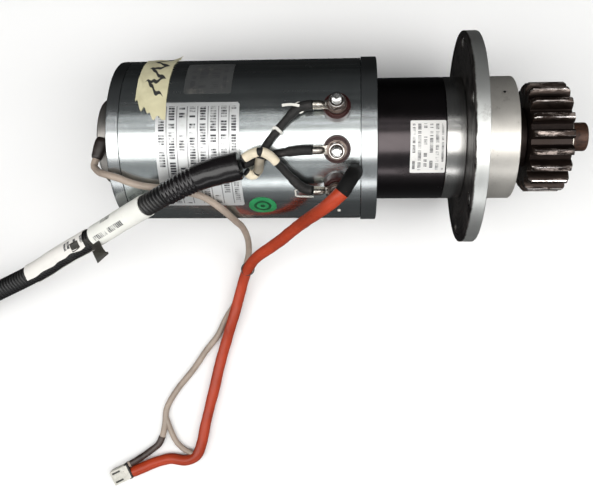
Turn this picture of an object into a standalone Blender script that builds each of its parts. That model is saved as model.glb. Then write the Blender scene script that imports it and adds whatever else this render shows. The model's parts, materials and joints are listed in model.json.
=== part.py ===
"""Electric motor with a planetary gearbox, a round mounting flange and a pinion.

The motor lies on its flange rim and on the rim of its rear cap, so its shaft rises
towards the pinion. Everything on the shaft is built in the shaft frame: local +Z runs
along the shaft from the rear cap to the pinion, local +X points up and local +Y points
to world -Y. The empty "shaft_frame" then tilts that frame and stands it on z = 0.
The loose cords are laid out directly in world coordinates. Everything is in metres.
"""

import math

import bmesh
import bpy
from mathutils import Matrix, Vector

PART_NAME = "electric_motor"
GAP = 0.0003
ROUND_STEPS = 40
HALF_GAP = GAP / 2

# Stations along the shaft, counted from the rear face of the rear cap.
REAR_CAP_Z = 0.0
TUBE_Z = 0.0082
FRONT_CAP_Z = 0.1600
RING_HOUSING_Z = 0.1704
ADAPTER_Z = 0.2136
FLANGE_Z = 0.2261
HUB_Z = 0.2357
HUB_FRONT_Z = 0.2592
PINION_Z = 0.2678
PINION_FRONT_Z = 0.2938
SHAFT_TIP_Z = 0.3096
COVER_REAR_Z = -0.0143
WORLD_CENTRE_X = 0.14535

# Radii of the round pieces.
TUBE_R = 0.0537
TUBE_BORE_R = 0.0503
FRONT_CAP_R = 0.0545
SPIGOT_R = 0.0500
SPIGOT_BORE_R = 0.0465
COVER_R = 0.0290
GEARBOX_R = 0.0405
FLANGE_R = 0.0700
SHAFT_R = 0.0122
SHAFT_TIP_R = 0.0095
BEARING_BORE_R = 0.0125
WASHER_R = 0.0200

# Gears.
PLANET_MODULE = 0.0015
SUN_TEETH = 15
PLANET_TEETH = 15
RING_TEETH = 45
PLANETS = 3
PLANET_CENTRE_R = PLANET_MODULE * (SUN_TEETH + PLANET_TEETH) / 2
PINION_TEETH = 19
PINION_MODULE = 0.0035
PINION_TIP_R = 0.0363
PINION_TURN = math.radians(4.3)
PRESSURE_ANGLE = math.radians(20)
PLANET_PIN_R = 0.0040

# Bolt holes of the flange.
FLANGE_HOLES = 6
FLANGE_HOLE_R = 0.0045
FLANGE_HOLE_CIRCLE_R = 0.0620
FLANGE_HOLE_START = math.radians(-14.5)

# Terminals: their station, and the angle of each one around the shaft.
TERMINAL_Z = 0.1453
TERMINAL_ANGLES = {
    "u": math.radians(-12.3),
    "v": math.radians(14.0),
    "w": math.radians(39.5),
}
INSULATOR_R = 0.0085
INSULATOR_TOP_R = 0.0590
STUD_R = 0.0030
STUD_TIP_R = 0.0730
LUG_REACH = 0.0145

# Cords: diameters.
LEAD_D = 0.0050
CONDUIT_D = 0.0140
CONDUIT_BOOT_D = 0.0175
SENSOR_CABLE_D = 0.0046
BRANCH_D = 0.0035
SLEEVE_D = 0.0080

# Routes of the cords in world coordinates, chosen by hand. They sag and lie on z = 0.
CONDUIT_BOOT_ROUTE = [
    (-0.0636, -0.0237, 0.1184), (-0.0723, -0.0257, 0.1174), (-0.0810, -0.0279, 0.1165),
    (-0.0903, -0.0310, 0.1155), (-0.0998, -0.0352, 0.1134),
]
CONDUIT_ROUTE = [
    (-0.1013, -0.0360, 0.1130), (-0.1104, -0.0405, 0.1097), (-0.1208, -0.0455, 0.1038),
    (-0.1325, -0.0508, 0.0945), (-0.1448, -0.0565, 0.0850), (-0.1644, -0.0662, 0.0710),
    (-0.1928, -0.0799, 0.0540), (-0.2143, -0.0914, 0.0425), (-0.2444, -0.1050, 0.0310),
    (-0.2690, -0.1161, 0.0245), (-0.2914, -0.1263, 0.0220),
]
LEAD_ROUTES = {
    "u": [
        (-0.0603, -0.0268, 0.1146), (-0.0562, -0.0290, 0.1130), (-0.0526, -0.0262, 0.1160),
        (-0.0512, -0.0195, 0.1205), (-0.0477, -0.0119, 0.1201), (-0.0416, -0.0032, 0.1183),
        (-0.0343, 0.0055, 0.1184), (-0.0283, 0.0110, 0.1190), (-0.0237, 0.0126, 0.1206),
        (-0.0195, 0.0128, 0.1214),
    ],
    "v": [
        (-0.0619, -0.0232, 0.1166), (-0.0565, -0.0208, 0.1144), (-0.0504, -0.0183, 0.1143),
        (-0.0423, -0.0163, 0.1155), (-0.0331, -0.0150, 0.1168), (-0.0252, -0.0145, 0.1196),
        (-0.0195, -0.0145, 0.1209),
    ],
    "w": [
        (-0.0616, -0.0198, 0.1222), (-0.0560, -0.0172, 0.1246), (-0.0499, -0.0162, 0.1262),
        (-0.0446, -0.0188, 0.1234), (-0.0393, -0.0237, 0.1174), (-0.0330, -0.0300, 0.1120),
        (-0.0250, -0.0366, 0.1080), (-0.0190, -0.0381, 0.1091),
    ],
}
SENSOR_CABLE_ROUTE = [
    (-0.1606, -0.0174, 0.0859), (-0.1613, -0.0198, 0.0861), (-0.1598, -0.0226, 0.0884),
    (-0.1559, -0.0254, 0.0942), (-0.1514, -0.0271, 0.1010), (-0.1460, -0.0287, 0.1042),
    (-0.1408, -0.0303, 0.1029), (-0.1340, -0.0329, 0.1009), (-0.1255, -0.0349, 0.0998),
    (-0.1147, -0.0360, 0.0996), (-0.1021, -0.0379, 0.0988), (-0.0902, -0.0409, 0.0967),
    (-0.0818, -0.0457, 0.0916), (-0.0752, -0.0510, 0.0860), (-0.0700, -0.0562, 0.0700),
    (-0.0670, -0.0600, 0.0470), (-0.0650, -0.0672, 0.0260), (-0.0648, -0.0753, 0.0130),
    (-0.0664, -0.0837, 0.0050), (-0.0700, -0.0968, 0.0026), (-0.0738, -0.1128, 0.0026),
    (-0.0826, -0.1278, 0.0026), (-0.0893, -0.1415, 0.0026), (-0.0983, -0.1533, 0.0026),
    (-0.1082, -0.1678, 0.0026), (-0.1204, -0.1831, 0.0026), (-0.1281, -0.1969, 0.0026),
    (-0.1296, -0.2099, 0.0026), (-0.1334, -0.2229, 0.0026), (-0.1425, -0.2308, 0.0034),
    (-0.1507, -0.2362, 0.0044), (-0.1570, -0.2395, 0.0047),
]
BRANCH_ROUTE = [
    (-0.1254, -0.2130, 0.0026), (-0.1215, -0.2215, 0.0026), (-0.1165, -0.2270, 0.0028),
    (-0.1120, -0.2298, 0.0030),
]
SLEEVE_BOOT_ROUTE = [
    (0.0082, -0.0251, 0.1142), (0.0066, -0.0271, 0.1194), (0.0046, -0.0301, 0.1256),
    (0.0025, -0.0335, 0.1299),
]
SLEEVE_ROUTE = [
    (0.0010, -0.0358, 0.1317), (-0.0005, -0.0386, 0.1325), (-0.0024, -0.0411, 0.1322),
    (-0.0056, -0.0443, 0.1306), (-0.0100, -0.0481, 0.1265), (-0.0165, -0.0525, 0.1160),
    (-0.0230, -0.0566, 0.1010), (-0.0315, -0.0625, 0.0810), (-0.0395, -0.0687, 0.0640),
    (-0.0480, -0.0745, 0.0480), (-0.0565, -0.0800, 0.0340), (-0.0632, -0.0868, 0.0230),
    (-0.0678, -0.0960, 0.0155), (-0.0708, -0.1062, 0.0120), (-0.0737, -0.1165, 0.0100),
    (-0.0765, -0.1265, 0.0090), (-0.0797, -0.1363, 0.0072), (-0.0830, -0.1475, 0.0050),
    (-0.0866, -0.1599, 0.0043), (-0.0920, -0.1828, 0.0043), (-0.0978, -0.2064, 0.0043),
    (-0.1011, -0.2225, 0.0043), (-0.1052, -0.2325, 0.0043), (-0.1135, -0.2362, 0.0043),
    (-0.1247, -0.2350, 0.0043), (-0.1354, -0.2374, 0.0044), (-0.1445, -0.2411, 0.0046),
    (-0.1536, -0.2450, 0.0047),
]

# The conduit's spare length: a round coil that lies behind and to the left.
COIL_CENTRE = Vector((-0.3600, -0.0838, 0.0))
COIL_START_R = 0.0670
COIL_PITCH = 0.0145
COIL_TURNS = 1.3
COIL_START_ANGLE = math.radians(-65.7)
FLOOR_CLEARANCE = 0.0002

# Plugs.
SENSOR_PLUG_SIZE = (0.0142, 0.0112, 0.0090)
SENSOR_PLUG_CENTRE = (-0.1620, -0.2464)
SENSOR_PLUG_ANGLE = math.radians(206)
CONNECTOR_SIZE = (0.0400, 0.0300, 0.0160)
CONNECTOR_BOOT_LENGTH = 0.0180


def make_material(name, colour, roughness, metallic):
    material = bpy.data.materials.new(name)
    material.use_nodes = True
    shader = material.node_tree.nodes["Principled BSDF"]
    shader.inputs["Base Color"].default_value = (*colour, 1.0)
    shader.inputs["Roughness"].default_value = roughness
    shader.inputs["Metallic"].default_value = metallic
    return material


def clear_scene():
    for item in list(bpy.data.objects):
        bpy.data.objects.remove(item, do_unlink=True)


def make_collection(name):
    collection = bpy.data.collections.new(name)
    bpy.context.scene.collection.children.link(collection)
    return collection


def shaft_frame_matrix():
    """Tilt the shaft so that the flange rim and the rear cap both touch the floor."""
    drop = FLANGE_R - TUBE_R
    tilt = math.atan2(drop, FLANGE_Z - REAR_CAP_Z)
    along = Vector((math.cos(tilt), 0, math.sin(tilt)))
    up = Vector((-math.sin(tilt), 0, math.cos(tilt)))
    side = Vector((0, -1, 0))
    rotation = Matrix((up, side, along)).transposed().to_4x4()
    lift = TUBE_R * math.cos(tilt)
    return Matrix.Translation((-WORLD_CENTRE_X, 0, lift)) @ rotation


def place(name, data, material, matrix=None, parent="shaft_frame"):
    """Make an object of a mesh or a curve, with one material, in the part's collection."""
    item = bpy.data.objects.new(name, data)
    data.materials.append(material)
    bpy.data.collections[PART_NAME].objects.link(item)
    if parent:
        item.parent = bpy.data.objects[parent]
    if matrix is not None:
        item.matrix_local = matrix
    return item


def to_plain_mesh(item, weld=1e-6):
    """Replace a curve, or an object with modifiers, by its evaluated, welded mesh."""
    bpy.context.view_layer.update()
    graph = bpy.context.evaluated_depsgraph_get()
    mesh = bpy.data.meshes.new_from_object(item.evaluated_get(graph))
    shape = bmesh.new()
    shape.from_mesh(mesh)
    bmesh.ops.remove_doubles(shape, verts=shape.verts, dist=weld)
    shape.to_mesh(mesh)
    shape.free()
    mesh.shade_smooth()
    mesh.set_sharp_from_angle(angle=math.radians(35))
    name, parent, matrix = item.name, item.parent, item.matrix_local.copy()
    material = item.data.materials[0]
    bpy.data.objects.remove(item, do_unlink=True)
    plain = bpy.data.objects.new(name, mesh)
    mesh.materials.clear()
    mesh.materials.append(material)
    bpy.data.collections[PART_NAME].objects.link(plain)
    plain.parent = parent
    plain.matrix_local = matrix
    return plain


def turned(name, profile, material, steps=32, hollow=True, matrix=None, parent="shaft_frame"):
    """Turn a profile of (radius, z) points about local Z.

    A hollow profile is a closed loop that runs down its outer side and up its bore.
    A solid one is an open line that starts and ends on the axis.
    """
    mesh = bpy.data.meshes.new(name)
    points = [(radius, 0.0, height) for radius, height in profile]
    edges = [(index, index + 1) for index in range(len(points) - 1)]
    if hollow:
        edges.append((len(points) - 1, 0))
    mesh.from_pydata(points, edges, [])
    item = place(name, mesh, material, matrix, parent)
    screw = item.modifiers.new("turn", "SCREW")
    screw.axis = "Z"
    screw.steps = steps
    screw.render_steps = steps
    screw.use_merge_vertices = True
    screw.merge_threshold = 0.00001
    return to_plain_mesh(item)


def ring(name, outer, bore, low, high, material, steps=24):
    """Turn a plain ring with sharp edges."""
    profile = [(outer, high), (outer, low), (bore, low), (bore, high)]
    return turned(name, profile, material, steps=steps)


def plate(name, outlines, low, high, material, matrix=None, parent="shaft_frame"):
    """Extrude flat outlines of (x, y) points from z = low to z = high; inner ones are holes."""
    curve = bpy.data.curves.new(name, "CURVE")
    curve.dimensions = "2D"
    curve.fill_mode = "BOTH"
    curve.extrude = (high - low) / 2
    for outline in outlines:
        spline = curve.splines.new("POLY")
        spline.points.add(len(outline) - 1)
        for point, (x, y) in zip(spline.points, outline):
            point.co = (x, y, 0.0, 1.0)
        spline.use_cyclic_u = True
    middle = Matrix.Translation((0, 0, (low + high) / 2))
    whole = middle if matrix is None else matrix @ middle
    return to_plain_mesh(place(name, curve, material, whole, parent))


def polar(radius, angle):
    return (radius * math.cos(angle), radius * math.sin(angle))


def circle(radius, count):
    return [polar(radius, 2 * math.pi * step / count) for step in range(count)]


def involute(radius, base):
    """Polar angle of an involute of this base circle where it reaches a radius."""
    if radius <= base:
        return 0.0
    angle = math.acos(base / radius)
    return math.tan(angle) - angle


def gear_outline(teeth, module, tip, root, thinning):
    """Outline of an involute gear with a tooth centred on angle 0.

    The thinning is taken off each tooth's width on the pitch circle. An outline with a
    negative thinning is the set of tooth spaces of a ring gear.
    """
    pitch = teeth * module / 2
    base = pitch * math.cos(PRESSURE_ANGLE)
    half_tooth = math.pi / (2 * teeth) - thinning / (2 * pitch)
    start = max(root, base)
    flank = [root] if root < base else []
    flank += [start, pitch, tip]
    outline = []
    for tooth in range(teeth):
        centre = 2 * math.pi * tooth / teeth
        for radius in flank:
            half = half_tooth + involute(pitch, base) - involute(radius, base)
            outline.append(polar(radius, centre - half))
        for radius in reversed(flank):
            half = half_tooth + involute(pitch, base) - involute(radius, base)
            outline.append(polar(radius, centre + half))
    return outline


def smooth_route(points, spacing):
    """Points a fixed distance apart on a smooth curve through the route's points."""
    knots = [Vector(point) for point in points]
    dense = []
    for index in range(len(knots) - 1):
        before = knots[max(index - 1, 0)]
        start, end = knots[index], knots[index + 1]
        after = knots[min(index + 2, len(knots) - 1)]
        for step in range(16):
            t = step / 16
            dense.append(0.5 * (
                2 * start + (end - before) * t
                + (2 * before - 5 * start + 4 * end - after) * t ** 2
                + (3 * start - before - 3 * end + after) * t ** 3))
    dense.append(knots[-1])
    lengths = [0.0]
    for first, second in zip(dense, dense[1:]):
        lengths.append(lengths[-1] + (second - first).length)
    count = max(3, round(lengths[-1] / spacing))
    route = []
    place_in = 0
    for step in range(count + 1):
        wanted = lengths[-1] * step / count
        while place_in < len(lengths) - 2 and lengths[place_in + 1] < wanted:
            place_in += 1
        part = (wanted - lengths[place_in]) / (lengths[place_in + 1] - lengths[place_in])
        route.append(dense[place_in].lerp(dense[place_in + 1], part))
    return route


def tube(name, points, diameter, spacing, material, sides=2, end_scale=1.0):
    """A round cord along a route in world coordinates, with flat closed ends."""
    curve = bpy.data.curves.new(name, "CURVE")
    curve.dimensions = "3D"
    curve.bevel_depth = diameter / 2
    curve.bevel_resolution = sides
    curve.use_fill_caps = True
    curve.twist_mode = "MINIMUM"
    route = smooth_route(points, spacing)
    spline = curve.splines.new("POLY")
    spline.points.add(len(route) - 1)
    for index, (point, where) in enumerate(zip(spline.points, route)):
        point.co = (*where, 1.0)
        point.radius = 1 + (end_scale - 1) * index / (len(route) - 1)
    return to_plain_mesh(place(name, curve, material, parent=None))


def cutter_cylinder(name, radius, depth, matrix, sides=24):
    """A cylinder along local Z that only serves as a Boolean cutter."""
    mesh = bpy.data.meshes.new(name)
    shape = bmesh.new()
    bmesh.ops.create_cone(
        shape, cap_ends=True, segments=sides, radius1=radius, radius2=radius, depth=depth)
    shape.to_mesh(mesh)
    shape.free()
    return place_cutter(name, mesh, matrix)


def cutter_box(name, size, matrix):
    """A box that only serves as a Boolean cutter."""
    return place_cutter(name, box_mesh(name, size), matrix)


def box_mesh(name, size):
    mesh = bpy.data.meshes.new(name)
    shape = bmesh.new()
    bmesh.ops.create_cube(shape, size=1.0)
    bmesh.ops.scale(shape, vec=size, verts=shape.verts)
    shape.to_mesh(mesh)
    shape.free()
    return mesh


def place_cutter(name, mesh, matrix):
    item = bpy.data.objects.new(name, mesh)
    bpy.data.collections["cutters"].objects.link(item)
    item.parent = bpy.data.objects["shaft_frame"]
    item.matrix_local = matrix
    item.hide_render = True
    item.display_type = "WIRE"
    return item


def cut(item, cutters):
    for cutter in cutters:
        modifier = item.modifiers.new(cutter.name, "BOOLEAN")
        modifier.operation = "DIFFERENCE"
        modifier.object = cutter


def radial_matrix(angle, station):
    """A frame whose local Z points straight out of the shaft axis, and whose X is the shaft."""
    out = Vector((math.cos(angle), math.sin(angle), 0))
    along = Vector((0, 0, 1))
    rotation = Matrix((along, out.cross(along), out)).transposed().to_4x4()
    return Matrix.Translation((0, 0, station)) @ rotation


# --- motor body -------------------------------------------------------------------------


def build_rear_cap(zinc):
    low, high = REAR_CAP_Z, TUBE_Z - HALF_GAP
    turned("rear_end_cap", [
        (SPIGOT_R, 0.0180), (SPIGOT_R, high), (TUBE_R, high), (TUBE_R, 0.0010),
        (0.0526, low), (0.0065, low), (0.0065, 0.0055), (0.0163, 0.0055),
        (0.0163, 0.0180), (0.0210, 0.0180), (0.0210, 0.0060), (SPIGOT_BORE_R, 0.0060),
        (SPIGOT_BORE_R, 0.0180),
    ], zinc, steps=ROUND_STEPS)


def build_motor_tube(zinc):
    tube_item = turned("motor_tube", [
        (TUBE_R, FRONT_CAP_Z - HALF_GAP), (TUBE_R, TUBE_Z + HALF_GAP),
        (TUBE_BORE_R, TUBE_Z + HALF_GAP), (TUBE_BORE_R, FRONT_CAP_Z - HALF_GAP),
    ], zinc, steps=ROUND_STEPS)
    cutters = []
    for phase, angle in TERMINAL_ANGLES.items():
        matrix = radial_matrix(angle, TERMINAL_Z) @ Matrix.Translation((0, 0, TUBE_R))
        cutters.append(cutter_cylinder(
            f"terminal_hole_{phase}", INSULATOR_R + GAP, 0.014, matrix))
    cut(tube_item, cutters)


def build_front_cap(zinc):
    low, high = FRONT_CAP_Z + HALF_GAP, RING_HOUSING_Z - HALF_GAP
    turned("front_end_cap", [
        (FRONT_CAP_R - 0.0008, high), (FRONT_CAP_R, high - 0.0008), (FRONT_CAP_R, low),
        (SPIGOT_R, low), (SPIGOT_R, 0.1555), (SPIGOT_BORE_R, 0.1555),
        (SPIGOT_BORE_R, 0.1640), (0.0225, 0.1640), (0.0225, 0.1555), (0.0178, 0.1555),
        (0.0178, 0.1673), (0.0095, 0.1673), (0.0095, high),
    ], zinc, steps=ROUND_STEPS)


def grommet_matrix():
    """The rubber grommet lies along the side of the rear cover, at an angle."""
    start = Vector((*polar(0.0310, math.radians(4)), -0.0085))
    end = Vector((*polar(0.0365, math.radians(26)), -0.0125))
    along = (end - start).normalized()
    across = along.cross(Vector((0, 0, 1))).normalized()
    rotation = Matrix((across, along.cross(across), along)).transposed().to_4x4()
    return Matrix.Translation(start) @ rotation, (end - start).length


def build_encoder(cast, rubber, board, steel):
    wall = 0.0015
    rear, front = COVER_REAR_Z, REAR_CAP_Z - GAP
    cover = turned("encoder_cover", [
        (0.0, rear + wall), (COVER_R - wall, rear + wall), (COVER_R - wall, front),
        (COVER_R, front), (COVER_R, rear + 0.0028), (COVER_R - 0.0008, rear + 0.0008),
        (COVER_R - 0.0028, rear), (0.0, rear),
    ], cast, hollow=False)
    matrix, length = grommet_matrix()
    hole = matrix @ Matrix.Translation((0, 0, length / 2))
    cut(cover, [cutter_cylinder("grommet_hole", 0.0045 + GAP, length + 0.010, hole)])
    turned("cable_grommet", [
        (0.0, length), (0.0034, length), (0.0038, length * 0.55), (0.0045, length * 0.5),
        (0.0045, 0.0008), (0.0037, 0.0), (0.0, 0.0),
    ], rubber, steps=16, hollow=False, matrix=matrix)
    ring("encoder_board", 0.0240, 0.0075, -0.0019, -GAP, board)
    ring("encoder_disc", 0.0140, 0.0043, -0.0050, -0.0032, steel)


def build_stator(laminations, copper):
    slots = 24
    bore = []
    for slot in range(slots):
        centre = 2 * math.pi * slot / slots
        bore += [
            polar(0.0310, centre - 0.040), polar(0.0440, centre - 0.085),
            polar(0.0440, centre + 0.085), polar(0.0310, centre + 0.040),
        ]
    plate("stator_core", [circle(0.0500, ROUND_STEPS), bore], 0.0380, 0.1280, laminations)
    for name, low, high in (
            ("rear_winding", 0.0200, 0.0377), ("front_winding", 0.1283, 0.1460)):
        turned(name, [
            (0.0420, high), (0.0455, high - 0.004), (0.0455, low + 0.004), (0.0420, low),
            (0.0330, low), (0.0330, high),
        ], copper, steps=24)


def build_rotor(steel, laminations):
    turned("rotor_shaft", [
        (0.0, 0.1985), (0.0055, 0.1985), (0.0060, 0.1980), (0.0060, 0.1722),
        (0.0072, 0.1722), (0.0072, 0.1550), (0.0100, 0.1550), (0.0100, 0.0190),
        (0.0057, 0.0190), (0.0057, 0.0052), (0.0040, 0.0052), (0.0040, -0.0062),
        (0.0, -0.0062),
    ], steel, steps=20, hollow=False)
    ring("rotor_core", 0.0302, 0.0103, 0.0400, 0.1260, laminations)
    ring("rear_rotor_bearing", 0.0160, 0.0060, 0.0060, 0.0160, steel)
    ring("front_rotor_bearing", 0.0175, 0.0075, 0.1560, 0.1670, steel)


# --- gearbox ----------------------------------------------------------------------------


def build_planet_stage(steel):
    """Sun, planets and pins; each planet's centre is on its own empty, its joint axis."""
    addendum = 0.85 * PLANET_MODULE
    sun_pitch = SUN_TEETH * PLANET_MODULE / 2
    small = gear_outline(
        SUN_TEETH, PLANET_MODULE, sun_pitch + addendum, sun_pitch - 1.2 * PLANET_MODULE,
        0.00030)
    plate("sun_gear", [small, circle(0.0063, 20)], 0.1760, 0.1980, steel)
    planet_pitch = PLANET_TEETH * PLANET_MODULE / 2
    planet = gear_outline(
        PLANET_TEETH, PLANET_MODULE, planet_pitch + addendum,
        planet_pitch - 1.2 * PLANET_MODULE, 0.00030)
    for index in range(PLANETS):
        angle = 2 * math.pi * index / PLANETS
        axis = bpy.data.objects.new(f"planet_axis_{index + 1}", None)
        bpy.data.collections[PART_NAME].objects.link(axis)
        axis.parent = bpy.data.objects["shaft_frame"]
        axis.matrix_local = (
            Matrix.Rotation(angle, 4, "Z") @ Matrix.Translation((PLANET_CENTRE_R, 0, 0)))
        plate(
            f"planet_gear_{index + 1}", [planet, circle(PLANET_PIN_R + GAP, 16)],
            0.1765, 0.1975, steel, parent=axis.name)
        turned(f"planet_pin_{index + 1}", [
            (0.0, 0.2085), (PLANET_PIN_R, 0.2085), (PLANET_PIN_R, 0.1755), (0.0, 0.1755),
        ], steel, steps=16, hollow=False, parent=axis.name)


def build_gearbox_housings(black_steel, bright_steel, aluminium):
    ring_pitch = RING_TEETH * PLANET_MODULE / 2
    spaces = gear_outline(
        RING_TEETH, PLANET_MODULE, ring_pitch + 1.4 * PLANET_MODULE,
        ring_pitch - 0.85 * PLANET_MODULE, -0.00030)
    plate(
        "ring_gear_housing", [circle(GEARBOX_R, ROUND_STEPS), spaces],
        RING_HOUSING_Z + HALF_GAP, ADAPTER_Z - HALF_GAP, black_steel)
    ring("adapter_ring", GEARBOX_R, 0.0238, ADAPTER_Z + HALF_GAP, FLANGE_Z - HALF_GAP,
         bright_steel, steps=ROUND_STEPS)
    build_flange(aluminium)
    turned("bearing_hub", [
        (GEARBOX_R - 0.0008, HUB_FRONT_Z), (GEARBOX_R, HUB_FRONT_Z - 0.0008),
        (GEARBOX_R, HUB_Z - HALF_GAP), (0.0263, HUB_Z - HALF_GAP), (0.0263, 0.2537),
        (0.0203, 0.2537), (0.0203, HUB_FRONT_Z),
    ], aluminium, steps=ROUND_STEPS)


def build_flange(aluminium):
    """The drilled flange, with a shallow recess in its front face that seats the hub."""
    low, high = FLANGE_Z + HALF_GAP, HUB_Z - HALF_GAP
    recess_r = GEARBOX_R + 0.0007
    flange = turned("mounting_flange", [
        (FLANGE_R - 0.0010, high), (FLANGE_R, high - 0.0010), (FLANGE_R, low),
        (0.0240, low), (0.0240, high - GAP), (recess_r, high - GAP), (recess_r, high),
    ], aluminium, steps=ROUND_STEPS)
    cutters = []
    for index in range(FLANGE_HOLES):
        angle = FLANGE_HOLE_START + 2 * math.pi * index / FLANGE_HOLES
        x, y = polar(FLANGE_HOLE_CIRCLE_R, angle)
        middle = Matrix.Translation((x, y, (low + high) / 2))
        cutters.append(cutter_cylinder(
            f"flange_hole_{index + 1}", FLANGE_HOLE_R, 0.014, middle, sides=16))
    cut(flange, cutters)


def build_output(steel, worn_steel, seal_rubber, zinc):
    key_size = (0.0070, 0.0080, 0.0220)
    key_middle_z = (PINION_Z + PINION_FRONT_Z) / 2
    key_matrix = Matrix.Translation((SHAFT_R, 0, key_middle_z))
    shaft = turned("output_shaft", [
        (0.0, SHAFT_TIP_Z), (SHAFT_TIP_R - 0.001, SHAFT_TIP_Z),
        (SHAFT_TIP_R, SHAFT_TIP_Z - 0.001), (SHAFT_TIP_R, 0.2930), (SHAFT_R, 0.2930),
        (SHAFT_R, 0.2120), (0.0160, 0.2120), (0.0160, 0.2100), (0.0310, 0.2100),
        (0.0310, 0.1990), (0.0, 0.1990),
    ], worn_steel, hollow=False)
    cutters = [cutter_box(
        "key_seat", [side + 2 * GAP for side in key_size], key_matrix)]
    for index in range(PLANETS):
        x, y = polar(PLANET_CENTRE_R, 2 * math.pi * index / PLANETS)
        cutters.append(cutter_cylinder(
            f"pin_hole_{index + 1}", PLANET_PIN_R + GAP, 0.016,
            Matrix.Translation((x, y, 0.2045)), sides=16))
    cut(shaft, cutters)
    place("pinion_key", box_mesh("pinion_key", key_size), steel, key_matrix)
    build_pinion(worn_steel, key_size)
    ring("rear_output_bearing", 0.0235, BEARING_BORE_R, 0.2138, 0.2258, steel)
    ring("front_output_bearing", 0.0260, BEARING_BORE_R, 0.2382, 0.2532, steel)
    ring("output_seal", WASHER_R, BEARING_BORE_R, 0.2540, 0.2588, seal_rubber)
    ring("pinion_spacer", WASHER_R, BEARING_BORE_R, 0.2595, 0.2675, worn_steel)
    ring("retaining_washer", WASHER_R, SHAFT_TIP_R + GAP, PINION_FRONT_Z + GAP, 0.2971,
         zinc, steps=32)


def build_pinion(worn_steel, key_size):
    """The output pinion, with a keyway at angle 0 and a shallow recess for the washer."""
    pitch = PINION_TEETH * PINION_MODULE / 2
    teeth = gear_outline(
        PINION_TEETH, PINION_MODULE, PINION_TIP_R, pitch - 1.2 * PINION_MODULE, 0.00010)
    teeth = [tuple(Matrix.Rotation(PINION_TURN, 2) @ Vector(point)) for point in teeth]
    half_key = key_size[1] / 2 + GAP
    key_top = SHAFT_R + key_size[0] / 2 + GAP
    edge = math.asin(half_key / BEARING_BORE_R)
    bore = [(key_top, half_key)]
    for step in range(21):
        bore.append(polar(BEARING_BORE_R, edge + (2 * math.pi - 2 * edge) * step / 20))
    bore.append((key_top, -half_key))
    pinion = plate("pinion", [teeth, bore], PINION_Z, PINION_FRONT_Z, worn_steel)
    front = Matrix.Translation((0, 0, PINION_FRONT_Z))
    cut(pinion, [cutter_cylinder("pinion_recess", WASHER_R + 0.0006, 2 * GAP, front, sides=32)])


# --- terminals and cords ----------------------------------------------------------------


def build_terminal(phase, angle, insulation, brass, zinc):
    matrix = radial_matrix(angle, TERMINAL_Z)
    turned(f"terminal_insulator_{phase}", [
        (INSULATOR_R - 0.0005, INSULATOR_TOP_R), (INSULATOR_R, INSULATOR_TOP_R - 0.0005),
        (INSULATOR_R, 0.0470), (STUD_R + GAP, 0.0470), (STUD_R + GAP, INSULATOR_TOP_R),
    ], insulation, steps=20, matrix=matrix)
    turned(f"terminal_stud_{phase}", [
        (0.0, STUD_TIP_R), (STUD_R - 0.0006, STUD_TIP_R), (STUD_R, STUD_TIP_R - 0.0006),
        (STUD_R, 0.0480), (0.0, 0.0480),
    ], brass, steps=16, hollow=False, matrix=matrix)
    head = []
    for step in range(13):
        head.append(polar(0.0058, math.radians(-150) + math.radians(300) * step / 12))
    tongue = 0.0027
    lug = head + [(-LUG_REACH, tongue), (-LUG_REACH, -tongue)]
    lug_low = INSULATOR_TOP_R + GAP
    plate(f"terminal_lug_{phase}", [lug, circle(STUD_R + GAP, 16)],
          lug_low, lug_low + 0.0012, zinc, matrix=matrix)
    hexagon = circle(0.0058, 6)
    nut_low = lug_low + 0.0012 + GAP
    plate(f"terminal_nut_{phase}", [hexagon, circle(STUD_R + GAP, 16)],
          nut_low, nut_low + 0.0050, zinc, matrix=matrix)


def build_coil(black_plastic):
    """The outer shape of the coiled conduit: a ring around all its turns."""
    inner = COIL_START_R - CONDUIT_D / 2
    outer = COIL_START_R + COIL_PITCH * COIL_TURNS + CONDUIT_D / 2
    low, high = FLOOR_CLEARANCE, FLOOR_CLEARANCE + CONDUIT_D
    round_by = CONDUIT_D * 0.3
    turned("conduit_coil", [
        (outer - round_by, high), (outer, high - round_by), (outer, low + round_by),
        (outer - round_by, low), (inner + round_by, low), (inner, low + round_by),
        (inner, high - round_by), (inner + round_by, high),
    ], black_plastic, matrix=Matrix.Translation(COIL_CENTRE), parent=None)
    return outer


def build_power_connector(black_plastic, coil_outer):
    """The connector lies flat beside the coil, in line with the conduit that leaves it."""
    end_angle = COIL_START_ANGLE - 2 * math.pi * COIL_TURNS
    end_r = COIL_START_R + COIL_PITCH * COIL_TURNS
    leave = COIL_CENTRE + Vector((*polar(end_r, end_angle), 0))
    heading = Vector((*polar(1.0, end_angle - math.pi / 2), 0))
    clear_r = coil_outer + CONDUIT_D / 2 + 0.0012
    reach = math.sqrt(clear_r ** 2 - end_r ** 2)
    length, width, height = CONNECTOR_SIZE
    turn = Matrix.Rotation(math.atan2(heading.y, heading.x), 4, "Z")
    middle = leave + heading * (reach + CONNECTOR_BOOT_LENGTH + length / 2)
    middle.z = height / 2 + FLOOR_CLEARANCE
    body = place(
        "power_connector", box_mesh("power_connector", CONNECTOR_SIZE), black_plastic,
        Matrix.Translation(middle) @ turn, parent=None)
    bevel = body.modifiers.new("round", "BEVEL")
    bevel.width = 0.0015
    bevel.segments = 2
    boot_length = CONNECTOR_BOOT_LENGTH + 0.004
    boot_middle = leave + heading * (reach + boot_length / 2)
    boot_middle.z = middle.z
    boot = cutter_cylinder(
        "connector_boot", CONDUIT_D / 2 + 0.0008, boot_length,
        Matrix.Translation(boot_middle) @ turn @ Matrix.Rotation(math.pi / 2, 4, "Y"))
    boot.parent = None
    join = body.modifiers.new("boot", "BOOLEAN")
    join.operation = "UNION"
    join.object = boot


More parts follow.
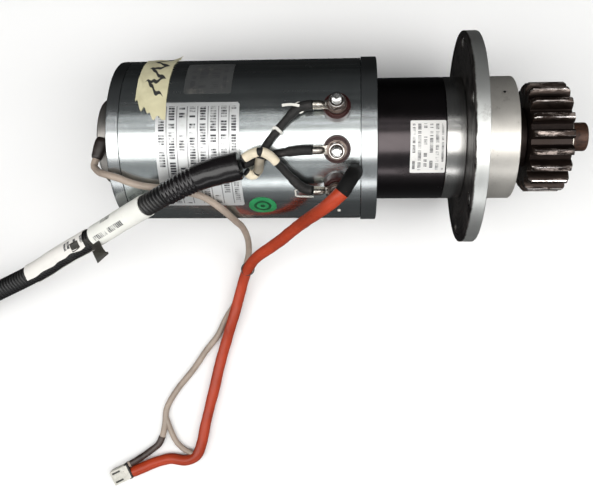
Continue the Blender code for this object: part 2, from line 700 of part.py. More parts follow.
def build_sensor_plug(white_plastic):
    x, y = SENSOR_PLUG_CENTRE
    height = SENSOR_PLUG_SIZE[2]
    matrix = (
        Matrix.Translation((x, y, height / 2 + FLOOR_CLEARANCE))
        @ Matrix.Rotation(SENSOR_PLUG_ANGLE, 4, "Z"))
    plug = place("sensor_plug", box_mesh("sensor_plug", SENSOR_PLUG_SIZE), white_plastic,
                 matrix, parent=None)
    bevel = plug.modifiers.new("round", "BEVEL")
    bevel.width = 0.0010
    bevel.segments = 2


def build_cords(black_rubber, black_plastic, taupe, red, white_plastic):
    for phase, route in LEAD_ROUTES.items():
        tube(f"power_lead_{phase}", route, LEAD_D, 0.0060, black_rubber)
    tube("conduit_boot", CONDUIT_BOOT_ROUTE, CONDUIT_BOOT_D, 0.0090, black_rubber, sides=4)
    tube("power_conduit", CONDUIT_ROUTE, CONDUIT_D, 0.0140, black_plastic, sides=3)
    coil_outer = build_coil(black_plastic)
    build_power_connector(black_plastic, coil_outer)
    tube("sensor_cable", SENSOR_CABLE_ROUTE, SENSOR_CABLE_D, 0.0095, taupe)
    tube("sensor_branch", BRANCH_ROUTE, BRANCH_D, 0.0070, taupe)
    tube("sleeve_boot", SLEEVE_BOOT_ROUTE, SLEEVE_D * 1.15, 0.0055, black_rubber, sides=3,
         end_scale=0.85)
    tube("sensor_sleeve", SLEEVE_ROUTE, SLEEVE_D, 0.0090, red)
    build_sensor_plug(white_plastic)


def main():
    clear_scene()
    make_collection(PART_NAME)
    make_collection("cutters")
    frame = bpy.data.objects.new("shaft_frame", None)
    bpy.data.collections[PART_NAME].objects.link(frame)
    frame.matrix_world = shaft_frame_matrix()

    zinc = make_material("zinc_steel", (0.62, 0.64, 0.66), 0.35, 1.0)
    aluminium = make_material("turned_aluminium", (0.66, 0.66, 0.64), 0.38, 1.0)
    steel = make_material("bright_steel", (0.55, 0.55, 0.55), 0.30, 1.0)
    black_steel = make_material("black_steel", (0.025, 0.025, 0.03), 0.45, 0.6)
    worn_steel = make_material("brown_gear_steel", (0.13, 0.09, 0.075), 0.50, 0.8)
    laminations = make_material("laminations", (0.25, 0.25, 0.27), 0.60, 0.7)
    copper = make_material("copper_winding", (0.55, 0.25, 0.12), 0.45, 0.8)
    insulation = make_material("insulator", (0.11, 0.035, 0.03), 0.45, 0.0)
    rubber = make_material("black_rubber", (0.02, 0.02, 0.022), 0.60, 0.0)
    black_plastic = make_material("black_plastic", (0.03, 0.03, 0.033), 0.50, 0.0)
    taupe = make_material("taupe_cable", (0.32, 0.27, 0.22), 0.55, 0.0)
    red = make_material("red_sleeve", (0.48, 0.08, 0.035), 0.50, 0.0)
    white_plastic = make_material("white_plastic", (0.80, 0.79, 0.74), 0.40, 0.0)
    board = make_material("green_board", (0.03, 0.16, 0.06), 0.50, 0.0)

    build_rear_cap(zinc)
    build_motor_tube(zinc)
    build_front_cap(zinc)
    build_encoder(zinc, rubber, board, steel)
    build_stator(laminations, copper)
    build_rotor(steel, laminations)
    build_planet_stage(steel)
    build_gearbox_housings(black_steel, steel, aluminium)
    build_output(steel, worn_steel, rubber, zinc)
    for phase, angle in TERMINAL_ANGLES.items():
        build_terminal(phase, angle, insulation, steel, zinc)
    build_cords(rubber, black_plastic, taupe, red, white_plastic)


main()
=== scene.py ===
import json
import math
from itertools import accumulate

import bmesh
import bpy
from mathutils import Matrix, Vector, noise


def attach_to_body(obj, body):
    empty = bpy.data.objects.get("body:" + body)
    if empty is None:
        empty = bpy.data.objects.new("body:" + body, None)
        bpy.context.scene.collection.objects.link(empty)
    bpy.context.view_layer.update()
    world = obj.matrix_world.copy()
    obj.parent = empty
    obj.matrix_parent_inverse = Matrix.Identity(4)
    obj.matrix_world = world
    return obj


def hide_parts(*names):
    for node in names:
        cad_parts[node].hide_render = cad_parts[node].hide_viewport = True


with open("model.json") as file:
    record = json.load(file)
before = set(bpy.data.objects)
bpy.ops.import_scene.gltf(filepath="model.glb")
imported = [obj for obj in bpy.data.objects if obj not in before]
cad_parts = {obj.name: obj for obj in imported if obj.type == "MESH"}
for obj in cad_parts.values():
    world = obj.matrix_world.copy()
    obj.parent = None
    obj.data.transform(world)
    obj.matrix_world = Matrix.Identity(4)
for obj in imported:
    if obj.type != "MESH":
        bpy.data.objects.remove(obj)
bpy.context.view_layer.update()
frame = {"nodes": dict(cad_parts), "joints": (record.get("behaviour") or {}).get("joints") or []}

# --- the shaft frame --------------------------------------------------------------------
# Local +Z runs along the shaft from the rear cap to the pinion, local +X points up and
# local +Y to world -Y. A station is a distance along the shaft from the rear cap's rear
# face, and an angle is counted in degrees from up, towards world -Y. All is in metres.

OUTPUT_SPIN = next(joint for joint in frame["joints"] if joint["name"] == "output_spin")
AXIS = Vector(OUTPUT_SPIN["axis"])
AXIS_POINT_STATION = 0.24
SIDE = Vector((0, -1, 0))
SHAFT = (
    Matrix.Translation(Vector(OUTPUT_SPIN["pos_m"]) - AXIS * AXIS_POINT_STATION)
    @ Matrix((SIDE.cross(AXIS), SIDE, AXIS)).transposed().to_4x4())

TUBE_Z = 0.0082
FRONT_CAP_Z = 0.1600
RING_HOUSING_Z = 0.1704
ADAPTER_Z = 0.2136
FLANGE_Z = 0.2261
HUB_Z = 0.2357
HUB_FRONT_Z = 0.2592
PINION_Z = 0.2678
PINION_FRONT_Z = 0.2938
SHAFT_TIP_Z = 0.3096
COVER_REAR_Z = -0.0143
COVER_FRONT_Z = -0.0003
COVER_WALL = 0.0015
TUBE_R = 0.0537
FRONT_CAP_R = 0.0545
COVER_R = 0.0290
GEARBOX_R = 0.0405
FLANGE_R = 0.0700
SHAFT_R = 0.0122
SHAFT_TIP_R = 0.0095
PINION_BORE_R = 0.0125
WASHER_R = 0.0200
HALF_GAP = 0.00015

PINION_TEETH = 19
PINION_MODULE = 0.0035
PINION_TIP_R = 0.0363
PINION_TURN = math.radians(4.3)
# Width of the strips on the tooth edges that carry rubbed metal with painted glints.
RUBBED_AND_GLINT_EDGE = 0.00055

FLANGE_HOLES = 6
FLANGE_HOLE_R = 0.0045
FLANGE_HOLE_CIRCLE_R = 0.0620
FLANGE_HOLE_START = -14.5

TERMINAL_Z = 0.1453
TERMINAL_ANGLES = {"u": -12.3, "v": 14.0, "w": 39.5}
INSULATOR_R = 0.0085
INSULATOR_TOP_R = 0.0590
STUD_R = 0.0030
STUD_TIP_R = 0.0730
STUD_PITCH = 0.0010
LUG_REACH = 0.0145


def polar(radius, degrees):
    angle = math.radians(degrees)
    return radius * math.cos(angle), radius * math.sin(angle)


def radial_matrix(degrees, station, reach=0.0):
    """Frame on the shaft's side: Z points straight out of the shaft, X along it."""
    out = Vector((*polar(1, degrees), 0))
    along = Vector((0, 0, 1))
    turn = Matrix((along, out.cross(along), out)).transposed().to_4x4()
    place = SHAFT @ Matrix.Translation((0, 0, station)) @ turn
    return place @ Matrix.Translation((0, 0, reach)) if reach else place


# --- nodes ------------------------------------------------------------------------------

FINISHES = {}


def feed(socket, value):
    """Link a node's output to a socket, or set the socket's own value."""
    if isinstance(value, bpy.types.NodeSocket):
        socket.id_data.links.new(value, socket)
    else:
        socket.default_value = (*value, 1.0) if socket.type == "RGBA" else value


def tint(colour, factor, lift=0.0):
    return tuple(min(1, part * factor + lift) for part in colour)


class Nodes:
    """Short calls for the nodes of one tree."""

    def __init__(self, tree):
        self.tree = tree
        self.coords = tree.nodes.new("ShaderNodeTexCoord")

    def add(self, kind, inputs, out=0, **settings):
        made = self.tree.nodes.new("ShaderNode" + kind)
        for key, value in settings.items():
            setattr(made, key, value)
        for key, value in inputs.items():
            feed(made.inputs[key], value)
        return made.outputs[out]

    def place(self, scale=(1, 1, 1)):
        return self.add("Mapping", {
            "Vector": self.coords.outputs["Object"], "Scale": scale})

    def noise(self, scale, detail=3.0, stretch=(1, 1, 1), rough=0.5, warp=0.0):
        return self.add("TexNoise", {
            "Vector": self.place(stretch), "Scale": scale, "Detail": detail,
            "Roughness": rough, "Distortion": warp})

    def axis(self, name, space="Object"):
        vector = self.coords.outputs[space]
        return self.add("SeparateXYZ", {"Vector": vector}, out=name)

    def math(self, operation, first, second=0.0):
        return self.add("Math", {0: first, 1: second}, operation=operation)

    def plus(self, first, second):
        return self.math("ADD", first, second)

    def times(self, first, *others):
        for other in others:
            first = self.math("MULTIPLY", first, other)
        return first

    def less(self, first, second):
        return self.math("LESS_THAN", first, second)

    def away(self, first, second):
        """How far one value is from another."""
        return self.math("ABSOLUTE", self.math("SUBTRACT", first, second))

    def hypot(self, first, second):
        squares = self.times(first, first), self.times(second, second)
        return self.math("SQRT", self.plus(*squares))

    def between(self, value, low, high, start=0.0, end=1.0):
        """Value mapped from low..high to start..end, clamped."""
        return self.add("MapRange", {
            "Value": value, "From Min": low, "From Max": high, "To Min": start, "To Max": end})

    def mix(self, factor, first, second):
        return self.add(
            "Mix", {0: factor, 6: first, 7: second}, out=2, data_type="RGBA")

    def blend(self, value, low, high, first, second, most=1.0):
        """The first colour where the value is low, and the second where it is high."""
        return self.mix(self.between(value, low, high, 0.0, most), first, second)


class Graph(Nodes):
    """A Principled material, kept in FINISHES under its name."""

    def __init__(self, name, metallic=0.0, roughness=0.5, specular=0.5):
        material = bpy.data.materials.new(name)
        material.use_nodes = True
        FINISHES[name] = material
        super().__init__(material.node_tree)
        self.sockets = self.tree.nodes["Principled BSDF"].inputs
        feed(self.sockets["Metallic"], metallic)
        feed(self.sockets["Roughness"], roughness)
        feed(self.sockets["Specular IOR Level"], specular)

    def finish(self, colour, roughness=None, height=None, distance=0.0):
        feed(self.sockets["Base Color"], colour)
        if roughness is not None:
            feed(self.sockets["Roughness"], roughness)
        if height is not None:
            feed(self.sockets["Normal"], self.add("Bump", {
                "Height": height, "Distance": distance, "Strength": 1.0}))


# --- meshes -----------------------------------------------------------------------------


def attach(item, nodes="", body="housing"):
    """Let a piece ride on a body and stand for CAD nodes."""
    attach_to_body(item, body)
    if nodes:
        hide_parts(*nodes.split())
    return item


def soften(mesh, degrees=32):
    mesh.shade_smooth()
    mesh.set_sharp_from_angle(angle=math.radians(degrees))


def new_piece(name, shape, looks, matrix=None, smooth=32):
    """An object made from a bmesh, with one finish or several."""
    mesh = bpy.data.meshes.new(name)
    shape.to_mesh(mesh)
    shape.free()
    if smooth:
        soften(mesh, smooth)
    for look in looks.split():
        mesh.materials.append(FINISHES[look])
    item = bpy.data.objects.new(name, mesh)
    bpy.context.scene.collection.objects.link(item)
    if matrix is not None:
        item.matrix_world = matrix
    return item


def rounded(profile, closed):
    """Replace each profile corner that carries a radius by a short arc."""
    out = []
    count = len(profile)
    for index, corner in enumerate(profile):
        here = Vector(corner[:2])
        radius = corner[2] if len(corner) > 2 else 0
        if not radius or (not closed and index in (0, count - 1)):
            out.append(tuple(here))
            continue
        before = (Vector(profile[index - 1][:2]) - here).normalized()
        after = (Vector(profile[(index + 1) % count][:2]) - here).normalized()
        start, end = here + before * radius, here + after * radius
        out.append(tuple(start + before * radius * 0.4))
        for step in range(4):
            t = step / 3
            out.append(tuple((1 - t) ** 2 * start + 2 * t * (1 - t) * here + t * t * end))
        out.append(tuple(end + after * radius * 0.4))
    return out


def loft(shape, rows, closed=True, uv=None):
    """Faces between rows of vertices. Closed rows join their ends, and uv places corners."""
    layer = shape.loops.layers.uv.new("UVMap") if uv else None
    faces = []
    for r, (low, high) in enumerate(zip(rows, rows[1:])):
        for c in range(len(low) - (not closed)):
            after = (c + 1) % len(low)
            corners = low[c], low[after], high[after], high[c]
            faces.append(shape.faces.new(dict.fromkeys(corners)))
            if uv:
                places = (r, c), (r, c + 1), (r + 1, c + 1), (r + 1, c)
                for loop, place in zip(faces[-1].loops, places):
                    loop[layer].uv = uv(*place)
    return faces


def lathe(name, profile, look, matrix=SHAFT, steps=144):
    """Turn a profile of (radius, z[, corner radius]) points about local Z.

    A profile that starts on the axis also ends there. Any other one is closed.
    """
    closed = profile[0][0] > 0
    shape = bmesh.new()
    rings = [
        [shape.verts.new((x, y, height)) for x, y in circle(radius, steps)] if radius
        else [shape.verts.new((0, 0, height))] * steps
        for radius, height in rounded(profile, closed)]
    loft(shape, rings + rings[:closed])
    bmesh.ops.recalc_face_normals(shape, faces=shape.faces)
    return new_piece(name, shape, look, matrix)


def turned(name, look, nodes, slot, profile, body="housing", **settings):
    """A turned piece that stands for CAD nodes."""
    return attach(lathe(name, profile, look, **settings), nodes, body)


def circle(radius, count, start=0.0):
    return [polar(radius, start + 360 * step / count) for step in range(count)]


def prism(name, outlines, low, high, look, matrix, bevel):
    """Extrude flat outlines of (x, y) points between two heights; inner ones are holes."""
    curve = bpy.data.curves.new(name, "CURVE")
    curve.dimensions = "2D"
    curve.fill_mode = "BOTH"
    curve.extrude = (high - low) / 2 - bevel
    curve.bevel_depth = bevel
    curve.bevel_resolution = 1
    curve.offset = -bevel
    for outline in outlines:
        spline = curve.splines.new("POLY")
        spline.points.add(len(outline) - 1)
        for point, (x, y) in zip(spline.points, outline):
            point.co = (x, y, 0, 1)
        spline.use_cyclic_u = True
    item = bpy.data.objects.new(name, curve)
    bpy.context.scene.collection.objects.link(item)
    mesh = evaluated_mesh(item)
    bpy.data.objects.remove(item)
    mesh.transform(Matrix.Translation((0, 0, (low + high) / 2)))
    shape = bmesh.new()
    shape.from_mesh(mesh)
    bmesh.ops.remove_doubles(shape, verts=shape.verts, dist=1e-6)
    bmesh.ops.recalc_face_normals(shape, faces=shape.faces)
    return new_piece(name, shape, look, matrix)


def evaluated_mesh(item):
    bpy.context.view_layer.update()
    graph = bpy.context.evaluated_depsgraph_get()
    return bpy.data.meshes.new_from_object(item.evaluated_get(graph))


def apply_modifiers(item):
    mesh = evaluated_mesh(item)
    item.modifiers.clear()
    item.data = mesh
    soften(mesh)
    return item


def drill(item, cutters):
    """Cut pieces out of another one and remove them."""
    for cutter in cutters:
        modifier = item.modifiers.new("cut", "BOOLEAN")
        modifier.operation = "DIFFERENCE"
        modifier.object = cutter
    apply_modifiers(item)
    for cutter in cutters:
        bpy.data.objects.remove(cutter)


def rounded_box(name, size, bevel, look, matrix, where=(0, 0, 0)):
    shape = bmesh.new()
    bmesh.ops.create_cube(shape, size=1.0)
    bmesh.ops.scale(shape, vec=size, verts=shape.verts)
    item = new_piece(name, shape, look, matrix @ Matrix.Translation(where), smooth=None)
    modifier = item.modifiers.new("round", "BEVEL")
    modifier.width = bevel
    modifier.segments = 4
    return apply_modifiers(item)


def holed_box(name, size, bevel, look, place, hole_size, hole_bevel, spots):
    """A rounded box with equal holes cut into it."""
    box = rounded_box(name, size, bevel, look, place)
    drill(box, [rounded_box("hole", hole_size, hole_bevel, look, place, spot)
                for spot in spots])
    return box


def small_boxes(place, rows):
    """Boxes fixed to a plug, from rows of name, size, bevel, finish and place on it."""
    return [attach(rounded_box(name, size, bevel, look, place, where))
            for name, size, bevel, look, where in rows]


def skin(name, rows, look, uv, matrix=None, tube=False, smooth=None):
    """A mesh over rows of points; a tube closes each row and gets two end caps."""
    shape = bmesh.new()
    rows = [[shape.verts.new(point) for point in row] for row in rows]
    loft(shape, rows, tube, uv)
    if tube:
        shape.faces.new(rows[0])
        shape.faces.new(list(reversed(rows[-1])))
        bmesh.ops.recalc_face_normals(shape, faces=shape.faces)
    return new_piece(name, shape, look, matrix, smooth)


def thicken(item, thickness, offset):
    modifier = item.modifiers.new("thickness", "SOLIDIFY")
    modifier.thickness = thickness
    modifier.offset = offset
    return apply_modifiers(item)


def smooth_route(points, spacing):
    """Points a fixed distance apart on a smooth curve through the route's points."""
    knots = [Vector(point) for point in points]
    dense = []
    for index, (start, end) in enumerate(zip(knots, knots[1:])):
        before = knots[max(index - 1, 0)]
        after = knots[min(index + 2, len(knots) - 1)]
        for step in range(16):
            t = step / 16
            dense.append(0.5 * (
                2 * start + (end - before) * t
                + (2 * before - 5 * start + 4 * end - after) * t ** 2
                + (3 * start - before - 3 * end + after) * t ** 3))
    dense.append(knots[-1])
    return resample(dense, spacing)


def distances(route):
    """How far along a route each of its points is."""
    steps = ((after - before).length for before, after in zip(route, route[1:]))
    return list(accumulate(steps, initial=0.0))


def resample(dense, spacing):
    lengths = distances(dense)
    count = max(3, round(lengths[-1] / spacing))
    route = []
    low = 0
    for step in range(count + 1):
        wanted = lengths[-1] * step / count
        while low < len(lengths) - 2 and lengths[low + 1] < wanted:
            low += 1
        share = (wanted - lengths[low]) / (lengths[low + 1] - lengths[low])
        route.append(dense[low].lerp(dense[low + 1], share))
    return route


def heading_at(route, index):
    step = route[min(index + 1, len(route) - 1)] - route[max(index - 1, 0)]
    return step.normalized()


def part_of(route, start, end):
    """The stretch of a route between two distances along it, without its last point."""
    return [where for where, far in zip(route[:-1], distances(route)) if start <= far <= end]


def distance_at_x(route, x):
    """Distance along a route at which it first passes a world X, going towards -X."""
    return next(far for far, after in zip(distances(route), route[1:]) if after.x <= x)


def sweep(name, route, radius, look, sides=20, wobble=0.0):
    """A closed tube along a route. The radius is a number or a function of the distance."""
    side = Vector((0, 0, 1))
    rows = []
    places = distances(route)
    for index, (where, travelled) in enumerate(zip(route, places)):
        along = heading_at(route, index)
        side = (side - along * side.dot(along)).normalized()
        across = along.cross(side)
        size = radius(travelled) if callable(radius) else radius
        row = []
        for cos, sin in circle(1, sides):
            bumpy = 1 + wobble * noise.noise(Vector((travelled * 160, cos * 1.3, sin * 1.3)))
            row.append(where + (across * cos + side * sin) * size * bumpy)
        rows.append(row)
    return skin(name, rows, look, lambda r, c: (places[r] * 10, c / sides), tube=True, smooth=50)


def strip(name, points, width, thick, look, up=(0, 0, 1)):
    """A flat strip along some points, such as the tail of a cable tie."""
    rows = []
    for index, here in enumerate(points):
        along = heading_at(points, index)
        across = along.cross(Vector(up)).normalized() * width / 2
        rise = across.cross(along).normalized() * thick / 2
        rows.append([here + a * across + b * rise
                     for a, b in ((-1, -1), (1, -1), (1, 1), (-1, 1))])
    return skin(name, rows, look, lambda r, c: (r, c), tube=True, smooth=32)


def band(name, route, where, radius, look, width=0.0026, thick=0.0008):
    """A closed strap around a cord, such as a cable tie."""
    stretch = part_of(route, where - width / 2, where + width / 2)
    along = (stretch[-1] - stretch[0]).normalized()
    turn = along.to_track_quat("Z", "Y").to_matrix().to_4x4()
    return turned(name, look, "", None, [
        (radius + thick, width / 2, 0.0002), (radius + thick, -width / 2, 0.0002),
        (radius, -width / 2), (radius, width / 2),
    ], matrix=Matrix.Translation(stretch[len(stretch) // 2]) @ turn, steps=36)


# --- camera, lights and floor -----------------------------------------------------------


def make_camera():
    data = bpy.data.cameras.new("camera")
    data.lens = 45.94
    data.sensor_width = 36
    camera = bpy.data.objects.new("camera", data)
    camera.location = (-0.0291, -0.0719, 0.5808)
    bpy.context.scene.collection.objects.link(camera)
    bpy.context.scene.camera = camera


def make_lamps():
    """Soft panels: where each one is, the way it shines, its sides, power and colour."""
    white = (1, 1, 1)
    for name, where, aim, sides, power, colour in (
            ("window", (0, -0.265, 1.0), (0, 0, -1), (2.8, 0.63), 19.0, (1.0, 0.99, 0.97)),
            ("strip_top", (0, 0.24, 1.0), (0, 0, -1), (2.0, 0.03), 0.7, white),
            ("strip_behind", (0, 0.43, 1.0), (0, 0, -1), (2.0, 0.04), 0.7, white),
            ("strip_front", (0, -1.375, 0.54), (0, 0.24, -0.15), (2.6, 0.28302), 4.4, white),
            ("panel_rear", (-1.5, -0.1, 0.55), (1.5, 0.1, -0.45), (1.6, 0.8), 4.5, white),
            ("panel_front", (1.6, -0.1, 0.55), (-1.6, 0.1, -0.45), (1.6, 0.8), 4.5, white)):
        data = bpy.data.lights.new(name, "AREA")
        data.shape = "RECTANGLE"
        data.size, data.size_y = sides
        data.energy = power
        data.color = colour
        made = bpy.data.objects.new(name, data)
        turn = Vector((0, 0, -1)).rotation_difference(Vector(aim)).to_matrix().to_4x4()
        made.matrix_world = Matrix.Translation(where) @ turn
        made.visible_camera = False
        bpy.context.scene.collection.objects.link(made)


def make_world():
    """A room that is brighter towards -Y, and dark below the horizon and towards +Y."""
    world = bpy.data.worlds.new("world")
    bpy.context.scene.world = world
    world.use_nodes = True
    g = Nodes(world.node_tree)
    glow = g.between(g.axis("Y", "Generated"), -0.75, 0.65, 0.34, 0.055)
    rise = g.between(g.axis("Z", "Generated"), -0.25, 0.35, 0.22, 1.0)
    sockets = g.tree.nodes["Background"].inputs
    feed(sockets["Color"], (0.95, 0.98, 1.0))
    feed(sockets["Strength"], g.times(glow, rise))


def make_stage():
    make_world()
    make_lamps()
    g = Graph("floor_paper", roughness=0.9, specular=0.1)
    g.finish(g.blend(g.noise(5, 2), 0.3, 0.7, (0.84,) * 3, (0.87,) * 3))
    shape = bmesh.new()
    bmesh.ops.create_grid(shape, x_segments=1, y_segments=1, size=4)
    floor = new_piece("floor", shape, "floor_paper", smooth=None)
    floor.visible_glossy = False
    bpy.context.scene.view_settings.view_transform = "Standard"
    bpy.context.scene.view_settings.look = "None"


# --- materials --------------------------------------------------------------------------

INK = (0.05, 0.05, 0.055)
GRIME = (0.33, 0.31, 0.27)
DUST = (0.30, 0.28, 0.25)


def metal(name, base, dirt, roughness, grain, dirt_from, blotch, scratch=0.00002,
          stretch=(1, 1, 30)):
    """Bare metal: brushed grain, faint blotches, patches of dirt and fine scratches."""
    g = Graph(name, metallic=1.0)
    lines = g.noise(grain, 6, stretch, 0.6)
    grime = g.between(g.noise(blotch * 3, 6, rough=0.7), dirt_from, dirt_from + 0.22)
    colour = g.blend(g.noise(blotch, 4, warp=0.6), 0.35, 0.68, tint(base, 0.84), tint(base, 1.12))
    colour = g.mix(g.times(grime, 0.55), colour, dirt)
    rough = g.plus(g.between(lines, 0.3, 0.7, *roughness), g.times(grime, 0.18))
    g.finish(colour, rough, lines, scratch)


def plastic(name, base, roughness, variation, scale, bump, dusty, specular=0.5):
    """Moulded plastic or rubber: uneven tone, a fine surface and some dust."""
    g = Graph(name, specular=specular)
    tone = g.noise(scale, 3)
    colour = g.blend(tone, 0.3, 0.7, tint(base, 1 - variation), tint(base, 1 + variation))
    colour = g.blend(g.noise(scale * 0.6, 6, rough=0.75), 0.5, 0.75, colour, DUST, dusty)
    rough = g.between(tone, 0.3, 0.7, roughness - 0.07, roughness + 0.08)
    g.finish(colour, rough, g.noise(scale * 8, 4), bump)


def bars(g, row_axis, rows, letters, density, weight):
    """Rows of short dark bars in place of writing, as a mask, and the place in each row."""
    def random_cell(first, second):
        vector = g.add("CombineXYZ", {"X": first, "Y": second})
        return g.add("TexWhiteNoise", {"Vector": vector})

    across = g.times(g.axis(row_axis, "UV"), rows)
    along = g.times(g.axis("Y" if row_axis == "X" else "X", "UV"), letters)
    row, place = g.math("FLOOR", across), g.math("FRACT", across)
    word = g.math("FLOOR", g.math("DIVIDE", along, 6.0))
    in_line = g.less(g.away(place, 0.55), weight)
    has_word = g.less(random_cell(row, word), density)
    stroke = g.less(random_cell(row, g.math("FLOOR", along)), 0.8)
    gap = g.less(g.math("FRACT", along), 0.74)
    return g.times(in_line, has_word, stroke, gap), place


def printed(name, paper, rows, letters, row_axis, metallic, roughness, density, weight,
            margin, rules=False):
    """A printed label: worn paper or foil with rows of bars, and thin rules between them."""
    g = Graph(name, metallic=metallic)
    mask, place = bars(g, row_axis, rows, letters, density, weight)
    mask = g.times(mask, g.between(g.noise(150, 5, rough=0.7), 0.36, 0.56))
    if rules:
        mask = g.math("MAXIMUM", mask, g.times(g.less(place, 0.09), 0.65))
    if margin:
        for axis in "XY":
            mask = g.times(mask, g.less(g.away(g.axis(axis, "UV"), 0.5), 0.5 - margin))
    tone = g.between(g.noise(45, 4), 0.3, 0.7)
    base = g.mix(tone, tint(paper, 0.9), paper)
    base = g.blend(g.noise(70, 6, rough=0.75), 0.56, 0.8, base, GRIME, 0.5)
    rough = g.between(tone, 0, 1, roughness, roughness + 0.12)
    g.finish(g.mix(mask, base, INK), rough, g.noise(400, 3), 0.00002)


def zinc_material():
    """Drawn zinc-plated tube: faint lines along the shaft, cloudy zinc, small stains."""
    g = Graph("zinc_tube", metallic=1.0)
    lines = g.noise(260, 5, (1, 1, 0.03), 0.65)
    stain = g.between(g.noise(38, 8, rough=0.75), 0.60, 0.78)
    colour = g.blend(
        g.noise(16, 5, warp=1.2), 0.3, 0.7, (0.45, 0.485, 0.49), (0.63, 0.665, 0.66))
    colour = g.blend(g.noise(95, 4), 0.35, 0.75, colour, (0.74, 0.78, 0.78), 0.25)
    colour = g.mix(g.times(stain, 0.6), colour, (0.20, 0.19, 0.175))
    colour = g.blend(g.noise(330, 6, rough=0.8), 0.60, 0.70, colour, (0.12, 0.115, 0.11), 0.45)
    rough = g.plus(g.between(lines, 0.3, 0.7, 0.17, 0.30), g.times(stain, 0.2))
    g.finish(colour, rough, lines, 0.000012)


def turned_metal(name, base, dirt, roughness, dark_below=None, groove=0.000006, metallic=1.0):
    """Metal turned on a lathe: rings about the shaft. A face below a station can be greasy."""
    g = Graph(name, metallic=metallic)
    radius = g.hypot(g.axis("X"), g.axis("Y"))
    vector = g.add("CombineXYZ", {"X": radius, "Y": g.axis("Z")})
    rings = g.add("TexNoise", {"Vector": vector, "Scale": 1800.0, "Detail": 3.0})
    colour = g.blend(g.noise(30, 5, warp=0.8), 0.3, 0.72, tint(base, 0.8), base)
    colour = g.blend(g.noise(75, 8, rough=0.8), 0.57, 0.75, colour, dirt, 0.6)
    rough = g.between(rings, 0.35, 0.65, *roughness)
    if dark_below is not None:
        film = g.between(g.noise(90, 6, rough=0.7), 0.25, 0.75, -0.0007, 0.0007)
        height = g.plus(g.axis("Z"), film)
        greasy = g.between(height, dark_below, dark_below + 0.0008, 1, 0)
        smear = g.blend(g.noise(55, 6, warp=1.5), 0.35, 0.7, (0.014, 0.012, 0.012),
                        (0.11, 0.10, 0.095))
        colour = g.mix(greasy, colour, smear)
        rough = g.plus(rough, g.times(greasy, 0.12))
    g.finish(colour, rough, rings, groove)


def gear_metal():
    """Dark, oily steel, a darker brown towards the roots of the teeth."""
    g = Graph("pinion_steel", metallic=0.75)
    cloud = g.noise(120, 6, (1, 1, 0.35), 0.7, 0.6)
    radius = g.hypot(g.axis("X"), g.axis("Y"))
    colour = g.blend(cloud, 0.3, 0.7, (0.009, 0.006, 0.005), (0.040, 0.025, 0.019))
    roots = g.between(radius, 0.0292, 0.0335, 1.0, 0.0)
    colour = g.mix(g.times(roots, 0.6), colour, (0.018, 0.012, 0.010))
    worn = g.between(g.noise(130, 7, (1, 1, 0.4), 0.8), 0.52, 0.60, 0.0, 0.85)
    tip = g.between(radius, PINION_TIP_R - 0.0022, PINION_TIP_R - 0.0002)
    colour = g.mix(g.times(worn, tip), colour, (0.50, 0.42, 0.38))
    g.finish(colour, g.between(cloud, 0.3, 0.7, 0.30, 0.52), cloud, 0.00015)


def worn_edge_and_glint_metal():
    """Tooth edges rubbed bright, with painted glints, in broken streaks along the tooth."""
    g = Graph("worn_edge", metallic=0.95)
    patchy = g.between(g.noise(55, 2), 0.36, 0.50, 0.15, 1.0)
    streak = g.between(g.noise(150, 5, (1, 1, 0.5), 0.75), 0.40, 0.52)
    streak = g.times(streak, patchy)
    # The bright streaks are partly rubbed metal and partly painted glints.
    colour = g.mix(streak, (0.055, 0.038, 0.031), (1.0, 0.93, 0.90))
    g.finish(colour, g.between(streak, 0, 1, 0.42, 0.18), streak, 0.00005)


def rust_metal():
    g = Graph("rusty_shaft", metallic=0.35)
    cloud = g.noise(170, 8, rough=0.75, warp=0.8)
    colour = g.blend(cloud, 0.35, 0.65, (0.018, 0.008, 0.005), (0.095, 0.042, 0.024))
    colour = g.blend(g.noise(90, 5), 0.62, 0.75, colour, (0.16, 0.12, 0.095), 0.4)
    g.finish(colour, g.between(cloud, 0.35, 0.65, 0.62, 0.42), cloud, 0.00012)


def tape_material():
    """Creased masking tape with one broad pen zigzag in place of writing."""
    g = Graph("masking_tape", roughness=0.62)
    colour = g.blend(g.noise(60, 5, warp=0.5), 0.3, 0.7, (0.50, 0.46, 0.29), (0.72, 0.68, 0.46))
    along = g.axis("Y", "UV")
    swing = g.away(g.math("FRACT", g.times(along, 5.0)), 0.5)
    line = g.plus(g.times(swing, 0.90), 0.34)
    pen = g.less(g.away(g.axis("X", "UV"), line), 0.10)
    colour = g.mix(g.times(pen, g.less(along, 0.80)), colour, (0.03, 0.03, 0.03))
    g.finish(colour, None, g.noise(420, 4, (1, 1, 0.35)), 0.00012)


def shrink_material(name, base, gloss, variation, wrinkle=0.00012, lift=0.03, specular=0.5):
    """Heat-shrunk sleeve: shiny, with soft wrinkles and rubbed, paler places."""
    g = Graph(name, specular=specular)
    tone = g.noise(28, 4)
    colour = g.blend(tone, 0.3, 0.7, tint(base, 1 - variation), tint(base, 1 + variation))
    rubbed = g.noise(210, 6, rough=0.7)
    colour = g.blend(rubbed, 0.6, 0.8, colour, tint(base, 1.7, lift), 0.35)
    rough = g.between(tone, 0.3, 0.7, gloss - 0.06, gloss + 0.1)
    g.finish(colour, rough, g.noise(150, 4, rough=0.5, warp=0.4), wrinkle)


def braid_material():
    """Dull black loom over a lead, with a fine weave and dusty threads."""
    g = Graph("lead_cover", roughness=0.62, specular=0.35)
    checks = g.add("TexVoronoi", {"Vector": g.place(), "Scale": 1500.0})
    tone = g.noise(60, 5, rough=0.7)
    colour = g.blend(tone, 0.35, 0.7, (0.006, 0.006, 0.006), (0.024, 0.022, 0.021))
    colour = g.blend(g.noise(190, 6, rough=0.75), 0.58, 0.74, colour, (0.30, 0.27, 0.24), 0.16)
    g.finish(colour, None, checks, 0.00018)


